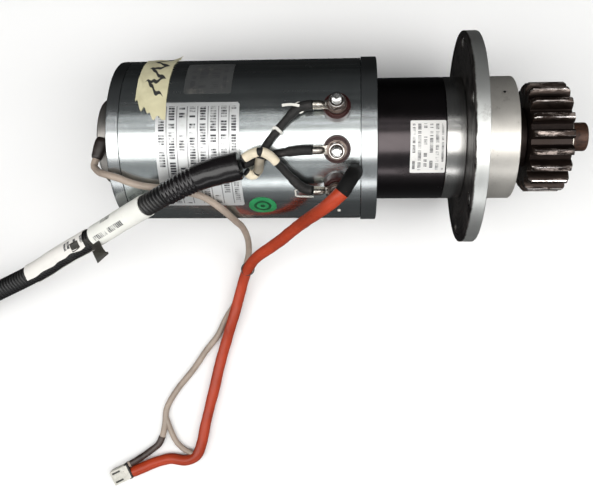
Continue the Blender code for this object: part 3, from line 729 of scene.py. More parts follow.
def lamination_material():
    g = Graph("laminations", metallic=0.8)
    sheets = g.add("TexWave", {
        "Vector": g.place(), "Scale": 320.0}, out=1, bands_direction="Z")
    colour = g.blend(g.noise(70, 4), 0.3, 0.7, (0.13, 0.13, 0.15), (0.27, 0.27, 0.29))
    g.finish(colour, g.between(sheets, 0, 1, 0.4, 0.6), sheets, 0.00005)


def winding_material():
    g = Graph("copper_winding", metallic=0.9)
    strands = g.noise(420, 4, (1, 1, 0.3), 0.6, 1.0)
    colour = g.blend(strands, 0.35, 0.65, (0.28, 0.09, 0.035), (0.75, 0.33, 0.15))
    g.finish(colour, g.between(strands, 0.3, 0.7, 0.28, 0.5), strands, 0.0002)


def sticker_material():
    """Green oval sticker with a dark generic ring and dot."""
    g = Graph("green_sticker")
    x, y = (g.math("SUBTRACT", g.axis(axis, "UV"), 0.5) for axis in "XY")
    reach = g.hypot(x, y)
    mark = g.math("MAXIMUM", g.less(g.away(reach, 0.27), 0.05), g.less(reach, 0.09))
    green = g.blend(g.noise(160, 5), 0.3, 0.7, (0.010, 0.17, 0.055), (0.022, 0.27, 0.09))
    g.finish(g.mix(mark, green, (0.006, 0.06, 0.022)), 0.35)


def make_materials():
    zinc_material()
    for row in (
            # name, colour, dirt, roughness, grain, dirt from, blotches, scratch, stretch
            ("cast_cover", (0.42, 0.40, 0.375), (0.16, 0.14, 0.12), (0.34, 0.5), 60, 0.58, 26,
             0.00006),
            ("zinc_fastener", (0.50, 0.47, 0.42), (0.055, 0.040, 0.032), (0.16, 0.36), 300, 0.42,
             130),
            ("bright_fastener", (0.78, 0.77, 0.75), (0.22, 0.18, 0.14), (0.12, 0.26), 300, 0.5,
             120),
            ("dull_nut", (0.20, 0.16, 0.14), (0.04, 0.022, 0.018), (0.24, 0.40), 300, 0.44, 170),
            ("black_housing", (0.060, 0.052, 0.054), (0.032, 0.027, 0.027), (0.18, 0.24), 90,
             0.58, 18, 0.000004, (1, 1, 1)),
            ("contact_metal", (0.80, 0.72, 0.50), (0.3, 0.2, 0.1), (0.2, 0.35), 60, 0.58, 18)):
        metal(*row)
    turned_metal("zinc_cap", (0.56, 0.585, 0.59), (0.20, 0.19, 0.18), (0.21, 0.245),
                 groove=0.000002)
    turned_metal("bright_steel", (0.58, 0.57, 0.55), (0.09, 0.08, 0.07), (0.20, 0.26),
                 groove=0.000003)
    turned_metal("turned_flange", (0.74, 0.75, 0.73), (0.24, 0.23, 0.21), (0.28, 0.46),
                 dark_below=FLANGE_Z + 0.0009, metallic=0.9)
    turned_metal("turned_hub", (0.72, 0.69, 0.64), (0.20, 0.17, 0.14), (0.32, 0.48),
                 groove=0.00001, metallic=0.76)
    gear_metal()
    worn_edge_and_glint_metal()
    rust_metal()
    for row in (
            # name, colour, roughness, variation, scale, bump, dust
            ("insulator", (0.036, 0.008, 0.007), 0.30, 0.3, 120, 0.00003, 0.12),
            ("black_rubber", (0.008, 0.007, 0.007), 0.5, 0.3, 100, 0.00005, 0.06),
            ("boot_rubber", (0.005, 0.005, 0.005), 0.7, 0.3, 100, 0.00008, 0.03, 0.15),
            ("brown_rubber", (0.014, 0.008, 0.006), 0.42, 0.3, 110, 0.00004, 0.12),
            ("conduit_black", (0.007, 0.007, 0.0075), 0.36, 0.3, 70, 0.00005, 0.10),
            ("taupe_cable", (0.33, 0.265, 0.215), 0.48, 0.18, 70, 0.00004, 0.3),
            ("dark_wire", (0.030, 0.014, 0.010), 0.4, 0.5, 120, 0.00008, 0.2),
            ("grey_marker", (0.24, 0.21, 0.16), 0.4, 0.3, 180, 0.00006, 0.12),
            ("cream_marker", (0.70, 0.62, 0.47), 0.5, 0.15, 150, 0.00005, 0.3),
            ("tape_flag", (0.028, 0.026, 0.020), 0.4, 0.3, 200, 0.0001, 0.12),
            ("plug_nylon", (0.56, 0.545, 0.49), 0.30, 0.12, 260, 0.00003, 0.5),
            ("clear_tie", (0.66, 0.65, 0.60), 0.3, 0.1, 150, 0.00003, 0.12),
            ("green_board", (0.02, 0.15, 0.06), 0.4, 0.2, 120, 0.00004, 0.12)):
        plastic(*row)
    shrink_material("black_shrink", (0.006, 0.005, 0.0055), 0.22, 0.25)
    shrink_material("red_sleeve", (0.35, 0.036, 0.009), 0.36, 0.32, 0.00035, 0.004, 0.35)
    braid_material()
    for row in (
            # name, paper, rows, letters, row axis, metallic, roughness, words, weight, margin
            ("white_sleeve", (0.80, 0.80, 0.75), 5, 60, "Y", 0, 0.42, 0.35, 0.2, 0),
            ("white_wrap", (0.78, 0.76, 0.72), 3, 40, "Y", 0, 0.5, 0.2, 0.2, 0),
            ("nameplate_foil", (0.70, 0.71, 0.71), 8, 42, "X", 0.6, 0.34, 0.84, 0.28, 0.035, True),
            ("code_label", (0.075, 0.078, 0.078), 4, 60, "X", 0.3, 0.45, 0.95, 0.34, 0.12),
            ("gearbox_label", (0.82, 0.81, 0.79), 6, 40, "X", 0, 0.4, 0.8, 0.28, 0.06)):
        printed(*row)
    tape_material()
    sticker_material()
    lamination_material()
    winding_material()


# --- motor ------------------------------------------------------------------------------


def between_gaps(low, high):
    return low + HALF_GAP, high - HALF_GAP


def build_motor():
    low, high = between_gaps(TUBE_Z, FRONT_CAP_Z)
    turned("tube_skin", "zinc_tube", "motor_tube", "zinc_steel", [
        (TUBE_R, high, 0.0004), (TUBE_R, low, 0.0004), (0.0503, low), (0.0503, high)])
    seam = TUBE_Z - HALF_GAP
    turned("rear_cap_skin", "zinc_cap", "rear_end_cap", "zinc_steel", [
        (0.0500, 0.0180), (0.0500, seam), (TUBE_R, seam, 0.0004), (TUBE_R, 0.0, 0.0012),
        (0.0475, 0.0, 0.0004), (0.0475, 0.0006, 0.0002), (0.0330, 0.0006, 0.0002),
        (0.0330, 0.0, 0.0003), (0.0065, 0.0), (0.0065, 0.0055), (0.0163, 0.0055),
        (0.0163, 0.0180), (0.0210, 0.0180), (0.0210, 0.0060), (0.0465, 0.0060),
        (0.0465, 0.0180)])
    low, high = between_gaps(FRONT_CAP_Z, RING_HOUSING_Z)
    turned("front_cap_skin", "zinc_cap", "front_end_cap", "zinc_steel", [
        (FRONT_CAP_R, high, 0.0008), (FRONT_CAP_R, low, 0.0003), (0.0500, low),
        (0.0500, 0.1555), (0.0465, 0.1555), (0.0465, 0.1640), (0.0225, 0.1640),
        (0.0225, 0.1555), (0.0178, 0.1555), (0.0178, 0.1673), (0.0095, 0.1673),
        (0.0095, high)])
    inner, rear = COVER_R - COVER_WALL, COVER_REAR_Z
    turned("cover_skin", "cast_cover", "encoder_cover", "zinc_steel", [
        (0.0, rear + COVER_WALL), (inner, rear + COVER_WALL), (inner, COVER_FRONT_Z),
        (COVER_R, COVER_FRONT_Z, 0.0003), (COVER_R, rear, 0.0028), (0.0110, rear, 0.0003),
        (0.0110, rear + 0.0005, 0.0002), (0.0, rear + 0.0005)])
    start, end = GROMMET_ENDS
    length = (end - start).length
    along = (end - start).normalized()
    across = along.cross(Vector((0, 0, 1))).normalized()
    turn = Matrix((across, along.cross(across), along)).transposed().to_4x4()
    turned("grommet_skin", "brown_rubber", "cable_grommet", "black_rubber", [
        (0.0, length), (0.0030, length), (0.0036, length - 0.0012, 0.0004),
        (0.0043, length * 0.5, 0.001), (0.0045, 0.0025, 0.001), (0.0034, 0.0, 0.0006),
        (0.0, 0.0)], matrix=SHAFT @ Matrix.Translation(start) @ turn, steps=40)


LABEL_THICK = 0.00015


def patch(name, stations, angles, radius, look, corner, ragged):
    """A thin label that follows a cylinder on the shaft, with round corners or a torn end."""
    low, high = stations
    first, last = angles
    columns, count = 24, 60
    height = math.radians(last - first) * radius
    rows = []
    for row in range(count + 1):
        v = row / count
        edge = min(v, 1 - v) * height
        trim = 0.0
        if edge < corner:
            trim = corner - math.sqrt(max(0.0, corner ** 2 - (corner - edge) ** 2))
        line = []
        for column in range(columns + 1):
            u = column / columns
            station = low + trim + (high - low - 2 * trim) * u
            angle = first + (last - first) * v
            lift = radius + LABEL_THICK
            if ragged:
                torn = 0.5 * noise.noise(Vector((u * 7.0, 0.3, 0.0))) + 1.1 - 1.5 * u
                angle -= ragged * max(0.0, torn) * v
                station += 0.0002 * noise.noise(Vector((v * 9.0, u, 2.0)))
                lift += 0.0007 * max(0.0, noise.noise(Vector((u * 4, v * 9, 1.0))))
                lift += 0.0042 * u ** 3 * max(0.0, 1 - v / 0.12)
            line.append((*polar(lift, angle), station))
        rows.append(line)
    item = skin(name, rows, look, lambda r, c: (c / columns, r / count), SHAFT)
    return thicken(item, LABEL_THICK, -1)


def build_labels():
    for row in (
            # name, stations, angles, radius, finish, corner radius, torn by degrees
            ("nameplate", (0.0322, 0.0848), (-18, 59), TUBE_R, "nameplate_foil", 0.0012, 0),
            ("code_label", (0.0488, 0.0790), (-58, -25), TUBE_R, "code_label", 0.0015, 0),
            ("masking_tape", (0.0186, 0.0386), (-88, -6), TUBE_R + 0.0002, "masking_tape", 0, 12),
            ("green_sticker", (0.0875, 0.1055), (50.5, 69.5), TUBE_R, "green_sticker", 0.0088, 0),
            ("gearbox_label", (0.1910, 0.2131), (-8, 40), GEARBOX_R, "gearbox_label", 0.0006, 0)):
        attach(patch(*row))


def build_gearbox():
    low, high = between_gaps(RING_HOUSING_Z, ADAPTER_Z)
    turned("ring_housing_skin", "black_housing", "ring_gear_housing", "black_steel", [
        (GEARBOX_R, high, 0.0004), (GEARBOX_R, low, 0.0004), (0.0360, low), (0.0360, high)])
    low, high = between_gaps(ADAPTER_Z, FLANGE_Z)
    turned("adapter_skin", "bright_steel", "adapter_ring", "bright_steel", [
        (GEARBOX_R, high, 0.0003), (GEARBOX_R, low, 0.0005), (0.0238, low), (0.0238, high)])
    low, high = between_gaps(FLANGE_Z, HUB_Z)
    flange = lathe("flange_skin", [
        (FLANGE_R, high, 0.0010), (FLANGE_R, low, 0.0006), (0.0655, low, 0.0001),
        (0.0653, low + 0.0005, 0.0001), (0.0646, low + 0.0005, 0.0001), (0.0644, low, 0.0001),
        (0.0240, low), (0.0240, high)], "turned_flange", steps=192)
    cutters = []
    for index in range(FLANGE_HOLES):
        x, y = polar(FLANGE_HOLE_CIRCLE_R, FLANGE_HOLE_START + 360 / FLANGE_HOLES * index)
        cutters.append(lathe("hole", [
            (0.0, 0.02), (FLANGE_HOLE_R, 0.02), (FLANGE_HOLE_R, -0.02), (0.0, -0.02)],
            "turned_flange", SHAFT @ Matrix.Translation((x, y, (low + high) / 2)), 48))
    drill(flange, cutters)
    attach(flange, "mounting_flange")
    low = HUB_Z + HALF_GAP
    turned("hub_skin", "turned_hub", "bearing_hub", "turned_aluminium", [
        (GEARBOX_R, HUB_FRONT_Z, 0.0010), (GEARBOX_R, low + 0.0012, 0.0002),
        (GEARBOX_R - 0.0006, low + 0.0010, 0.0002), (GEARBOX_R - 0.0006, low),
        (0.0263, low), (0.0263, 0.2537), (0.0203, 0.2537), (0.0203, HUB_FRONT_Z, 0.0004),
    ], steps=160)
    turned("hub_vent", "black_rubber", "", None, [
        (0.0, 0.0002), (0.0009, 0.0002, 0.0001), (0.0009, -0.002), (0.0, -0.002)],
        matrix=radial_matrix(-37, 0.2505, GEARBOX_R), steps=24)


def ring(name, outer, low, high, inner, look, nodes="", slot=None, edge=0.0003, **settings):
    """A washer with softened outer edges."""
    return turned(name, look, nodes, slot, [
        (outer, high, edge), (outer, low, edge), (inner, low), (inner, high)], **settings)


def build_shaft():
    tip = SHAFT_TIP_Z
    turned("shaft_skin", "rusty_shaft", "output_shaft", "brown_gear_steel", [
        (0.0, tip - 0.0022), (0.0016, tip - 0.0012, 0.0002), (0.0026, tip, 0.0003),
        (SHAFT_TIP_R, tip, 0.0014), (SHAFT_TIP_R, 0.2930), (SHAFT_R, 0.2930),
        (SHAFT_R, 0.2120), (0.0160, 0.2120), (0.0160, 0.2100), (0.0310, 0.2100),
        (0.0310, 0.1990), (0.0, 0.1990)], "output", steps=72)
    ring("spacer_skin", WASHER_R, 0.2595, 0.2675, PINION_BORE_R, "pinion_steel",
         "pinion_spacer", "brown_gear_steel", 0.0004, body="output", steps=72)
    low = PINION_FRONT_Z + 0.0003
    turned("washer_skin", "zinc_fastener", "retaining_washer", "zinc_steel", [
        (WASHER_R, 0.2971, 0.0006), (WASHER_R, low, 0.0003), (SHAFT_TIP_R + 0.0003, low),
        (SHAFT_TIP_R + 0.0003, 0.2971)], "output", steps=72)


def build_tube_marks():
    """A bent line and a dot of white paint on the tube."""
    outline = smooth_route([
        SHAFT @ Vector((*polar(TUBE_R + 0.0003, angle), station)) for station, angle in (
            (0.1300, 42.5), (0.1195, 43.5), (0.1188, 46.5), (0.1197, 49.5), (0.1300, 50.0))],
        0.0006)
    attach(strip("tube_mark", outline, 0.0009, 0.0003, "clear_tie",
                 SHAFT.to_3x3() @ Vector((*polar(1, 46), 0))))
    turned("white_dot", "clear_tie", "", None, [
        (0.0, 0.0006), (0.0010, 0.0006, 0.0003), (0.0012, -0.0005), (0.0, -0.0005)],
        matrix=radial_matrix(67, 0.1460, TUBE_R), steps=24)


def pinion_outline():
    """Radii and angles round the pinion, the steps that are rubbed edges with painted glints,
    steps per tooth.
    """
    pitch = PINION_TEETH * PINION_MODULE / 2
    base = pitch * math.cos(math.radians(20))
    root = pitch - 1.2 * PINION_MODULE

    def involute(radius):
        angle = math.acos(min(1.0, base / radius))
        return math.tan(angle) - angle

    half_tooth = math.pi / (2 * PINION_TEETH) - 0.00005 / pitch
    reach = PINION_TIP_R - RUBBED_AND_GLINT_EDGE - base
    flank = [root, root + 0.0004] + [base + reach * step / 6 for step in range(7)]
    side = [(radius, half_tooth + involute(pitch) - involute(radius)) for radius in flank]
    side[0] = (root, side[0][1] + 0.012)
    side.append((PINION_TIP_R, side[-1][1] - RUBBED_AND_GLINT_EDGE * 0.9 / PINION_TIP_R))
    points = []
    for tooth in range(PINION_TEETH):
        centre = PINION_TURN + 2 * math.pi * tooth / PINION_TEETH
        points += [(radius, centre - half) for radius, half in side]
        points += [(radius, centre + half) for radius, half in reversed(side)]
    return points, (len(side) - 2, len(side)), 2 * len(side)


def build_pinion():
    """The snap ring on the shaft's tip, and the pinion behind it."""
    ring("snap_ring", 0.0120, 0.2973, 0.2987, SHAFT_TIP_R, "zinc_fastener", edge=0.0004,
         body="output", steps=72)
    points, rubbed, per_tooth = pinion_outline()
    low, high = PINION_Z, PINION_FRONT_Z
    root = min(radius for radius, _ in points)
    bore = PINION_BORE_R
    sections = [
        (low, bore), (low, PINION_TIP_R - 0.0034), (low + 0.0008, PINION_TIP_R - 0.0018),
        (low + 0.0026, PINION_TIP_R), (high - 0.0016, PINION_TIP_R),
        (high - 0.0004, PINION_TIP_R - 0.0008), (high, PINION_TIP_R - 0.0016), (high, bore)]
    shape = bmesh.new()
    rows = []
    for station, limit in sections:
        row = []
        for radius, angle in points:
            size = bore if limit == bore else min(radius, max(limit, root))
            x, y = size * math.cos(angle), size * math.sin(angle)
            row.append(shape.verts.new((x, y, station)))
        rows.append(row)
    for index, face in enumerate(loft(shape, rows + rows[:1])):
        row, step = divmod(index, len(points))
        # Faces on the tooth edges take the second finish: rubbed metal with painted glints.
        face.material_index = 2 <= row <= 5 and step % per_tooth in rubbed
    bmesh.ops.recalc_face_normals(shape, faces=shape.faces)
    item = new_piece("pinion_skin", shape, "pinion_steel worn_edge", SHAFT, smooth=24)
    attach(item, "pinion", "output")


# --- terminals --------------------------------------------------------------------------


def build_terminal(phase, degrees):
    place = {"matrix": radial_matrix(degrees, TERMINAL_Z)}
    top = INSULATOR_TOP_R
    turned(f"insulator_{phase}", "insulator", f"terminal_insulator_{phase}", "insulator", [
        (INSULATOR_R, top, 0.0006), (INSULATOR_R, 0.0470), (0.0033, 0.0470),
        (0.0033, top - 0.0002), (0.0068, top - 0.0002, 0.0001), (0.0071, top - 0.0006, 0.0001),
        (0.0074, top - 0.0006, 0.0001), (0.0077, top, 0.0001)], steps=64, **place)
    thread = [(0.0, STUD_TIP_R), (STUD_R - 0.0010, STUD_TIP_R, 0.0003)]
    for turn in range(int((STUD_TIP_R - 0.0600) / STUD_PITCH)):
        height = STUD_TIP_R - 0.0004 - turn * STUD_PITCH
        thread += [(STUD_R, height - 0.0002), (STUD_R, height - 0.0004),
                   (STUD_R - 0.0004, height - 0.0008)]
    thread += [(STUD_R, 0.0595), (STUD_R, 0.0480), (0.0, 0.0480)]
    turned(f"stud_{phase}", "bright_fastener", f"terminal_stud_{phase}", "bright_steel",
           thread, steps=40, **place)
    low = top + 0.0003
    outline = [polar(0.0060, -150 + 300 * step / 28) for step in range(29)]
    outline += [(-0.0088, 0.0024), (-0.0100, 0.0027), (-LUG_REACH, 0.0027),
                (-LUG_REACH, -0.0027), (-0.0100, -0.0027), (-0.0088, -0.0024)]
    lug = prism(f"lug_{phase}", [outline, circle(STUD_R + 0.0003, 28)], low, low + 0.0012,
                "zinc_fastener", bevel=0.0002, **place)
    attach(lug, f"terminal_lug_{phase}")
    barrel = [place["matrix"] @ Vector((x, 0, low + z)) for x, z in (
        (-0.0078, 0.0010), (-0.0092, 0.0016), (-0.0108, 0.0020), (-LUG_REACH, 0.0020))]
    attach(sweep(f"lug_barrel_{phase}", barrel,
                 lambda travelled: 0.0016 + min(0.0008, travelled * 0.4), "zinc_fastener"))
    low += 0.0015
    ring(f"washer_{phase}", 0.0062, low, low + 0.0010, 0.0033, "dull_nut", steps=56, **place)
    ring(f"spring_washer_{phase}", 0.0050, low + 0.0012, low + 0.0024, 0.0033, "bright_steel",
         edge=0.0002, steps=56, **place)
    nut = prism(f"nut_{phase}", [circle(0.0056, 6, 17), circle(STUD_R + 0.0004, 28)],
                low + 0.0025, low + 0.0066, "dull_nut", bevel=0.0005, **place)
    attach(nut, f"terminal_nut_{phase}")
    turned(f"nut_rim_{phase}", "bright_fastener", "", None, [
        (0.0045, low + 0.0068, 0.0001), (0.0047, low + 0.0064), (0.0039, low + 0.0064),
        (0.0041, low + 0.0068, 0.0001)], steps=56, **place)


# --- cords ------------------------------------------------------------------------------

LEAD_R = 0.0025
CONDUIT_R = 0.0070
RIB_PITCH = 0.0026
RIB_DEPTH = 0.0013
SENSOR_CABLE_R = 0.0023
BRANCH_R = 0.00175
SLEEVE_R = 0.0040

FERRULE_LENGTH = 0.0165

COIL_CENTRE = Vector((-0.3600, -0.0838, 0.0))
COIL_START_R = 0.0670
COIL_PITCH = 0.0145
COIL_TURNS = 1.3
COIL_START_ANGLE = -65.7
COIL_STEPS = 60
FLOOR_CLEARANCE = 0.0002
CONNECTOR_SIZE = (0.0400, 0.0300, 0.0160)
CONNECTOR_BOOT_LENGTH = 0.0180
CONTACT_SPACING = 0.0086
SENSOR_PLUG_SIZE = (0.0142, 0.0112, 0.0090)
SENSOR_PLUG_CENTRE = (-0.1620, -0.2464)
SENSOR_PLUG_ANGLE = math.radians(206)
GROMMET_ENDS = (Vector((*polar(0.0310, 4), -0.0085)), Vector((*polar(0.0365, 26), -0.0125)))


def tenths(*points):
    """Route points that are written in tenths of a millimetre."""
    return [tuple(part / 10000 for part in point) for point in points]


CONDUIT_BOOT_ROUTE = tenths(
    (-636, -237, 1184), (-723, -257, 1174), (-810, -279, 1165), (-903, -310, 1155),
    (-998, -352, 1134))
CONDUIT_ROUTE = tenths(
    (-1013, -360, 1130), (-1104, -405, 1097), (-1208, -455, 1038), (-1325, -508, 945),
    (-1448, -565, 850), (-1644, -662, 710), (-1928, -799, 540), (-2143, -914, 425),
    (-2444, -1050, 310), (-2690, -1161, 245), (-2914, -1263, 220), (-3050, -1325, 195),
    (-3142, -1366, 168), (-3233, -1407, 120))
LEAD_ROUTES = {
    "u": tenths(
        (-603, -268, 1146), (-562, -290, 1130), (-526, -262, 1160), (-512, -195, 1205),
        (-477, -119, 1201), (-416, -32, 1183), (-343, 55, 1184), (-283, 110, 1190),
        (-237, 126, 1206), (-195, 128, 1214)),
    "v": tenths(
        (-619, -232, 1166), (-565, -208, 1144), (-504, -183, 1143), (-423, -163, 1155),
        (-331, -150, 1168), (-252, -145, 1196), (-195, -145, 1209)),
    "w": tenths(
        (-616, -198, 1222), (-560, -172, 1246), (-499, -162, 1262), (-446, -188, 1234),
        (-393, -237, 1174), (-330, -300, 1120), (-250, -366, 1080), (-190, -381, 1091)),
}
SENSOR_CABLE_ROUTE = tenths(
    (-1606, -174, 859), (-1613, -198, 861), (-1598, -226, 884), (-1559, -254, 942),
    (-1514, -271, 1010), (-1460, -287, 1042), (-1408, -303, 1029), (-1340, -329, 1009),
    (-1255, -349, 998), (-1147, -360, 996), (-1021, -379, 988), (-902, -409, 967),
    (-818, -457, 916), (-752, -510, 860), (-700, -562, 700), (-670, -600, 470), (-650, -672, 260),
    (-648, -753, 130), (-664, -837, 50), (-700, -968, 26), (-738, -1128, 26), (-826, -1278, 26),
    (-893, -1415, 26), (-983, -1533, 26), (-1082, -1678, 26), (-1204, -1831, 26),
    (-1281, -1969, 26), (-1296, -2099, 26), (-1334, -2229, 26), (-1425, -2308, 34),
    (-1507, -2362, 44), (-1570, -2395, 47))
BRANCH_ROUTE = tenths(
    (-1254, -2130, 26), (-1215, -2215, 26), (-1165, -2270, 28), (-1120, -2298, 30))
SLEEVE_BOOT_ROUTE = tenths(
    (70, -272, 1150), (56, -290, 1212), (46, -301, 1256), (25, -335, 1299))
SLEEVE_ROUTE = tenths(
    (10, -358, 1317), (-5, -386, 1325), (-24, -411, 1322), (-56, -443, 1306), (-100, -481, 1265),
    (-165, -525, 1160), (-230, -566, 1010), (-315, -625, 810), (-395, -687, 640),
    (-480, -745, 480), (-565, -800, 340), (-632, -868, 230), (-678, -960, 155),
    (-708, -1062, 120), (-737, -1165, 100), (-765, -1265, 90), (-797, -1363, 72),
    (-830, -1475, 50), (-866, -1599, 43), (-920, -1828, 43), (-978, -2064, 43),
    (-1011, -2225, 43), (-1052, -2325, 43), (-1135, -2362, 43), (-1247, -2350, 43),
    (-1354, -2374, 44), (-1445, -2411, 46), (-1536, -2450, 47))


def build_leads():
    markers = {
        "u": [(0.0005, 0.0090, "cream_marker"), (0.0094, 0.0200, "grey_marker")], "v": [],
        "w": [(0.0005, 0.0110, "cream_marker"), (0.0125, 0.0250, "cream_marker")]}
    for phase, points in LEAD_ROUTES.items():
        route = smooth_route(points, 0.0012)
        length = distances(route)[-1]

        def size(travelled, shrunk_from=length - FERRULE_LENGTH):
            return LEAD_R + 0.0006 * min(1, max(0, (travelled - shrunk_from) / 0.0012))

        lead = sweep(f"lead_{phase}", route, size, "lead_cover", wobble=0.05)
        attach(lead, f"power_lead_{phase}")
        pieces = [
            attach(sweep(f"marker_{phase}_{index + 1}", part_of(route, start, end),
                         LEAD_R + 0.0004, look, wobble=0.1))
            for index, (start, end, look) in enumerate(markers[phase])]
        if phase == "u":
            pieces += build_lead_ties(route, length)


def build_lead_ties(route, length):
    """Two clear cable ties on a lead, with their cut tails standing off it."""
    ties = []
    for index, (where, tail) in enumerate(((length - 0.0085, 0.0105), (length - 0.028, 0.003))):
        ties.append(band(f"lead_tie_{index + 1}", route, where, LEAD_R + 0.0003, "clear_tie",
                         0.0018))
        start = part_of(route, where - 0.0013, where + 0.0013)[0]
        start = start + Vector((0.001, LEAD_R * 0.5, LEAD_R + 0.0008))
        points = [start, start + Vector((-tail * 0.5, 0.0006, 0.0010)),
                  start + Vector((-tail, 0.0001, 0.0006))]
        ties.append(attach(strip(f"lead_tie_tail_{index + 1}", smooth_route(points, 0.001),
                                 0.0016, 0.0007, "clear_tie")))
    return ties


def coil_route():
    """Points of the spiral, clockwise from its start, then the straight tail."""
    points = []
    for step in range(COIL_STEPS + 1):
        turns = COIL_TURNS * step / COIL_STEPS
        height = 0.0072 + 0.0030 * math.exp(-turns * 2 * math.pi * COIL_START_R / 0.008)
        flat = polar(COIL_START_R + COIL_PITCH * turns, COIL_START_ANGLE - 360 * turns)
        points.append(COIL_CENTRE + Vector((*flat, height)))
    end_r = COIL_START_R + COIL_PITCH * COIL_TURNS
    clear_r = end_r + 2 * CONDUIT_R + 0.0012
    reach = math.sqrt(clear_r ** 2 - end_r ** 2)
    heading = Vector((*polar(1.0, COIL_START_ANGLE - 360 * COIL_TURNS - 90), 0))
    leave = points[-1]
    points += [leave + heading * reach * share for share in (0.25, 0.5, 0.75, 1.0)]
    return points, heading


def ribbed(travelled):
    """Radius of the corrugated conduit at a distance along it."""
    wave = 0.5 + 0.5 * math.cos(2 * math.pi * (travelled / RIB_PITCH % 1.0))
    return CONDUIT_R - RIB_DEPTH * (1 - min(1.0, wave * 1.6))


def build_conduit():
    coil, heading = coil_route()
    route = smooth_route(CONDUIT_ROUTE + coil, RIB_PITCH / 8)
    conduit = sweep("conduit", route, ribbed, "conduit_black", 18)
    attach(conduit, "power_conduit conduit_coil")

    boot_route = smooth_route(CONDUIT_BOOT_ROUTE + CONDUIT_ROUTE[:2], 0.0005)
    boot_length = distances(boot_route)[-1]

    def boot_size(travelled):
        left = boot_length - travelled
        size = 0.0076 + 0.0011 * min(1.0, left / 0.035)
        if left < 0.022:
            size -= 0.0006 * (0.5 - 0.5 * math.cos(2 * math.pi * travelled / RIB_PITCH))
        return size - 0.0006 * max(0.0, 1 - travelled / 0.0010)

    boot = sweep("conduit_boot_skin", boot_route, boot_size, "black_shrink", 28, wobble=0.03)
    attach(boot, "conduit_boot")

    def stretch(start, end):
        return part_of(route, start, end)[::4]

    first, first_end, second, second_end = (
        distance_at_x(route, x) for x in (-0.1245, -0.1650, -0.1690, -0.2180))
    sleeve = attach(sweep("marker_sleeve", stretch(first, first_end), CONDUIT_R + 0.0005,
                          "white_sleeve", 28, wobble=0.02))
    wrap = attach(half_wrap("marker_wrap", stretch(second, second_end), CONDUIT_R + 0.0006,
                            (-194, 117), "white_wrap"))
    mark = attach(half_wrap("wrap_mark", stretch(second + 0.004, second + 0.0125),
                            CONDUIT_R + 0.0009, (72, 106), "tape_flag"))
    flag = attach(tape_flag(stretch(first_end, second)))
    tie = band("coil_tie", route, distances(route)[-1] - 0.30, CONDUIT_R - 0.0007,
               "black_rubber")
    connector, parts = build_connector(route[-1], heading)
    round(distances(route)[-1], 2)


def half_wrap(name, route, radius, angles, look):
    """A label wrapped part of the way round a cord, with its edges standing off a little."""
    columns = 60
    rows = []
    for index, where in enumerate(route):
        along = heading_at(route, index)
        up = Vector((0, 0, 1))
        up = (up - along * up.dot(along)).normalized()
        across = along.cross(up)
        row = []
        for column in range(columns + 1):
            share = column / columns
            edge = 9 * noise.noise(Vector((index * 0.13, 0, 0))) * share
            lift = 0.0077 * max(0.0, abs(share - 0.5) * 2 - 0.86) * (
                0.6 + 0.4 * noise.noise(Vector((index * 0.11, share, 0))))
            x, y = polar(radius + lift, angles[0] + (angles[1] - angles[0]) * share + edge)
            row.append(where + across * x + up * y)
        rows.append(row)
    item = skin(name, rows, look, lambda r, c: (r * 0.01, c / columns))
    return thicken(item, 0.0002, 1)


def tape_flag(route):
    """A short piece of dark tape around the conduit, its ends pressed together as a flag."""
    middle = route[len(route) // 2]
    along = (route[-1] - route[0]).normalized()
    down = along.cross(Vector((0, 0, 1))).normalized()
    if down.y > 0:
        down = -down
    points = [middle + down * reach + Vector((0, 0, drop)) for reach, drop in (
        (0.0, CONDUIT_R + 0.0007), (0.0050, CONDUIT_R - 0.0010), (0.0085, 0.0022),
        (0.0105, -0.0004), (0.0130, -0.0016), (0.0155, -0.0010))]
    return strip("tape_flag", smooth_route(points, 0.0010), 0.0125, 0.0005, "tape_flag",
                 along.cross(down))


def build_connector(end, heading):
    """A rectangular power connector with a ribbed boot, a grip and three contact holes."""
    turn = Matrix.Rotation(math.atan2(heading.y, heading.x), 4, "Z")
    length, width, height = CONNECTOR_SIZE
    middle = end + heading * (CONNECTOR_BOOT_LENGTH + length / 2)
    middle.z = height / 2 + FLOOR_CLEARANCE
    place = Matrix.Translation(middle) @ turn
    front = length / 2
    columns = [side * CONTACT_SPACING for side in (-1, 0, 1)]
    body = holed_box("connector", CONNECTOR_SIZE, 0.0016, "black_rubber", place,
                     (0.016, 0.0062, 0.0085), 0.0008, [(front - 0.003, y, 0) for y in columns])
    attach(body, "power_connector")
    parts = small_boxes(place, [
        (f"connector_contact_{index + 1}", (0.011, 0.0040, 0.0012), 0.0003, "contact_metal",
         (front - 0.0062, y, 0)) for index, y in enumerate(columns)] + [
        ("connector_grip", (0.014, width - 0.004, 0.0004), 0.0001, "conduit_black",
         (-0.006, 0, height / 2))])
    start = Vector((end.x, end.y, middle.z))
    boot_route = resample([start, start + heading * (CONNECTOR_BOOT_LENGTH + 0.002)], 0.0005)

    def size(travelled):
        return CONDUIT_R + 0.0004 + (0.0005 if int(travelled / 0.0016) % 2 else 0.0)

    parts.append(attach(sweep("connector_boot", boot_route, size, "black_rubber", 28)))
    return body, parts


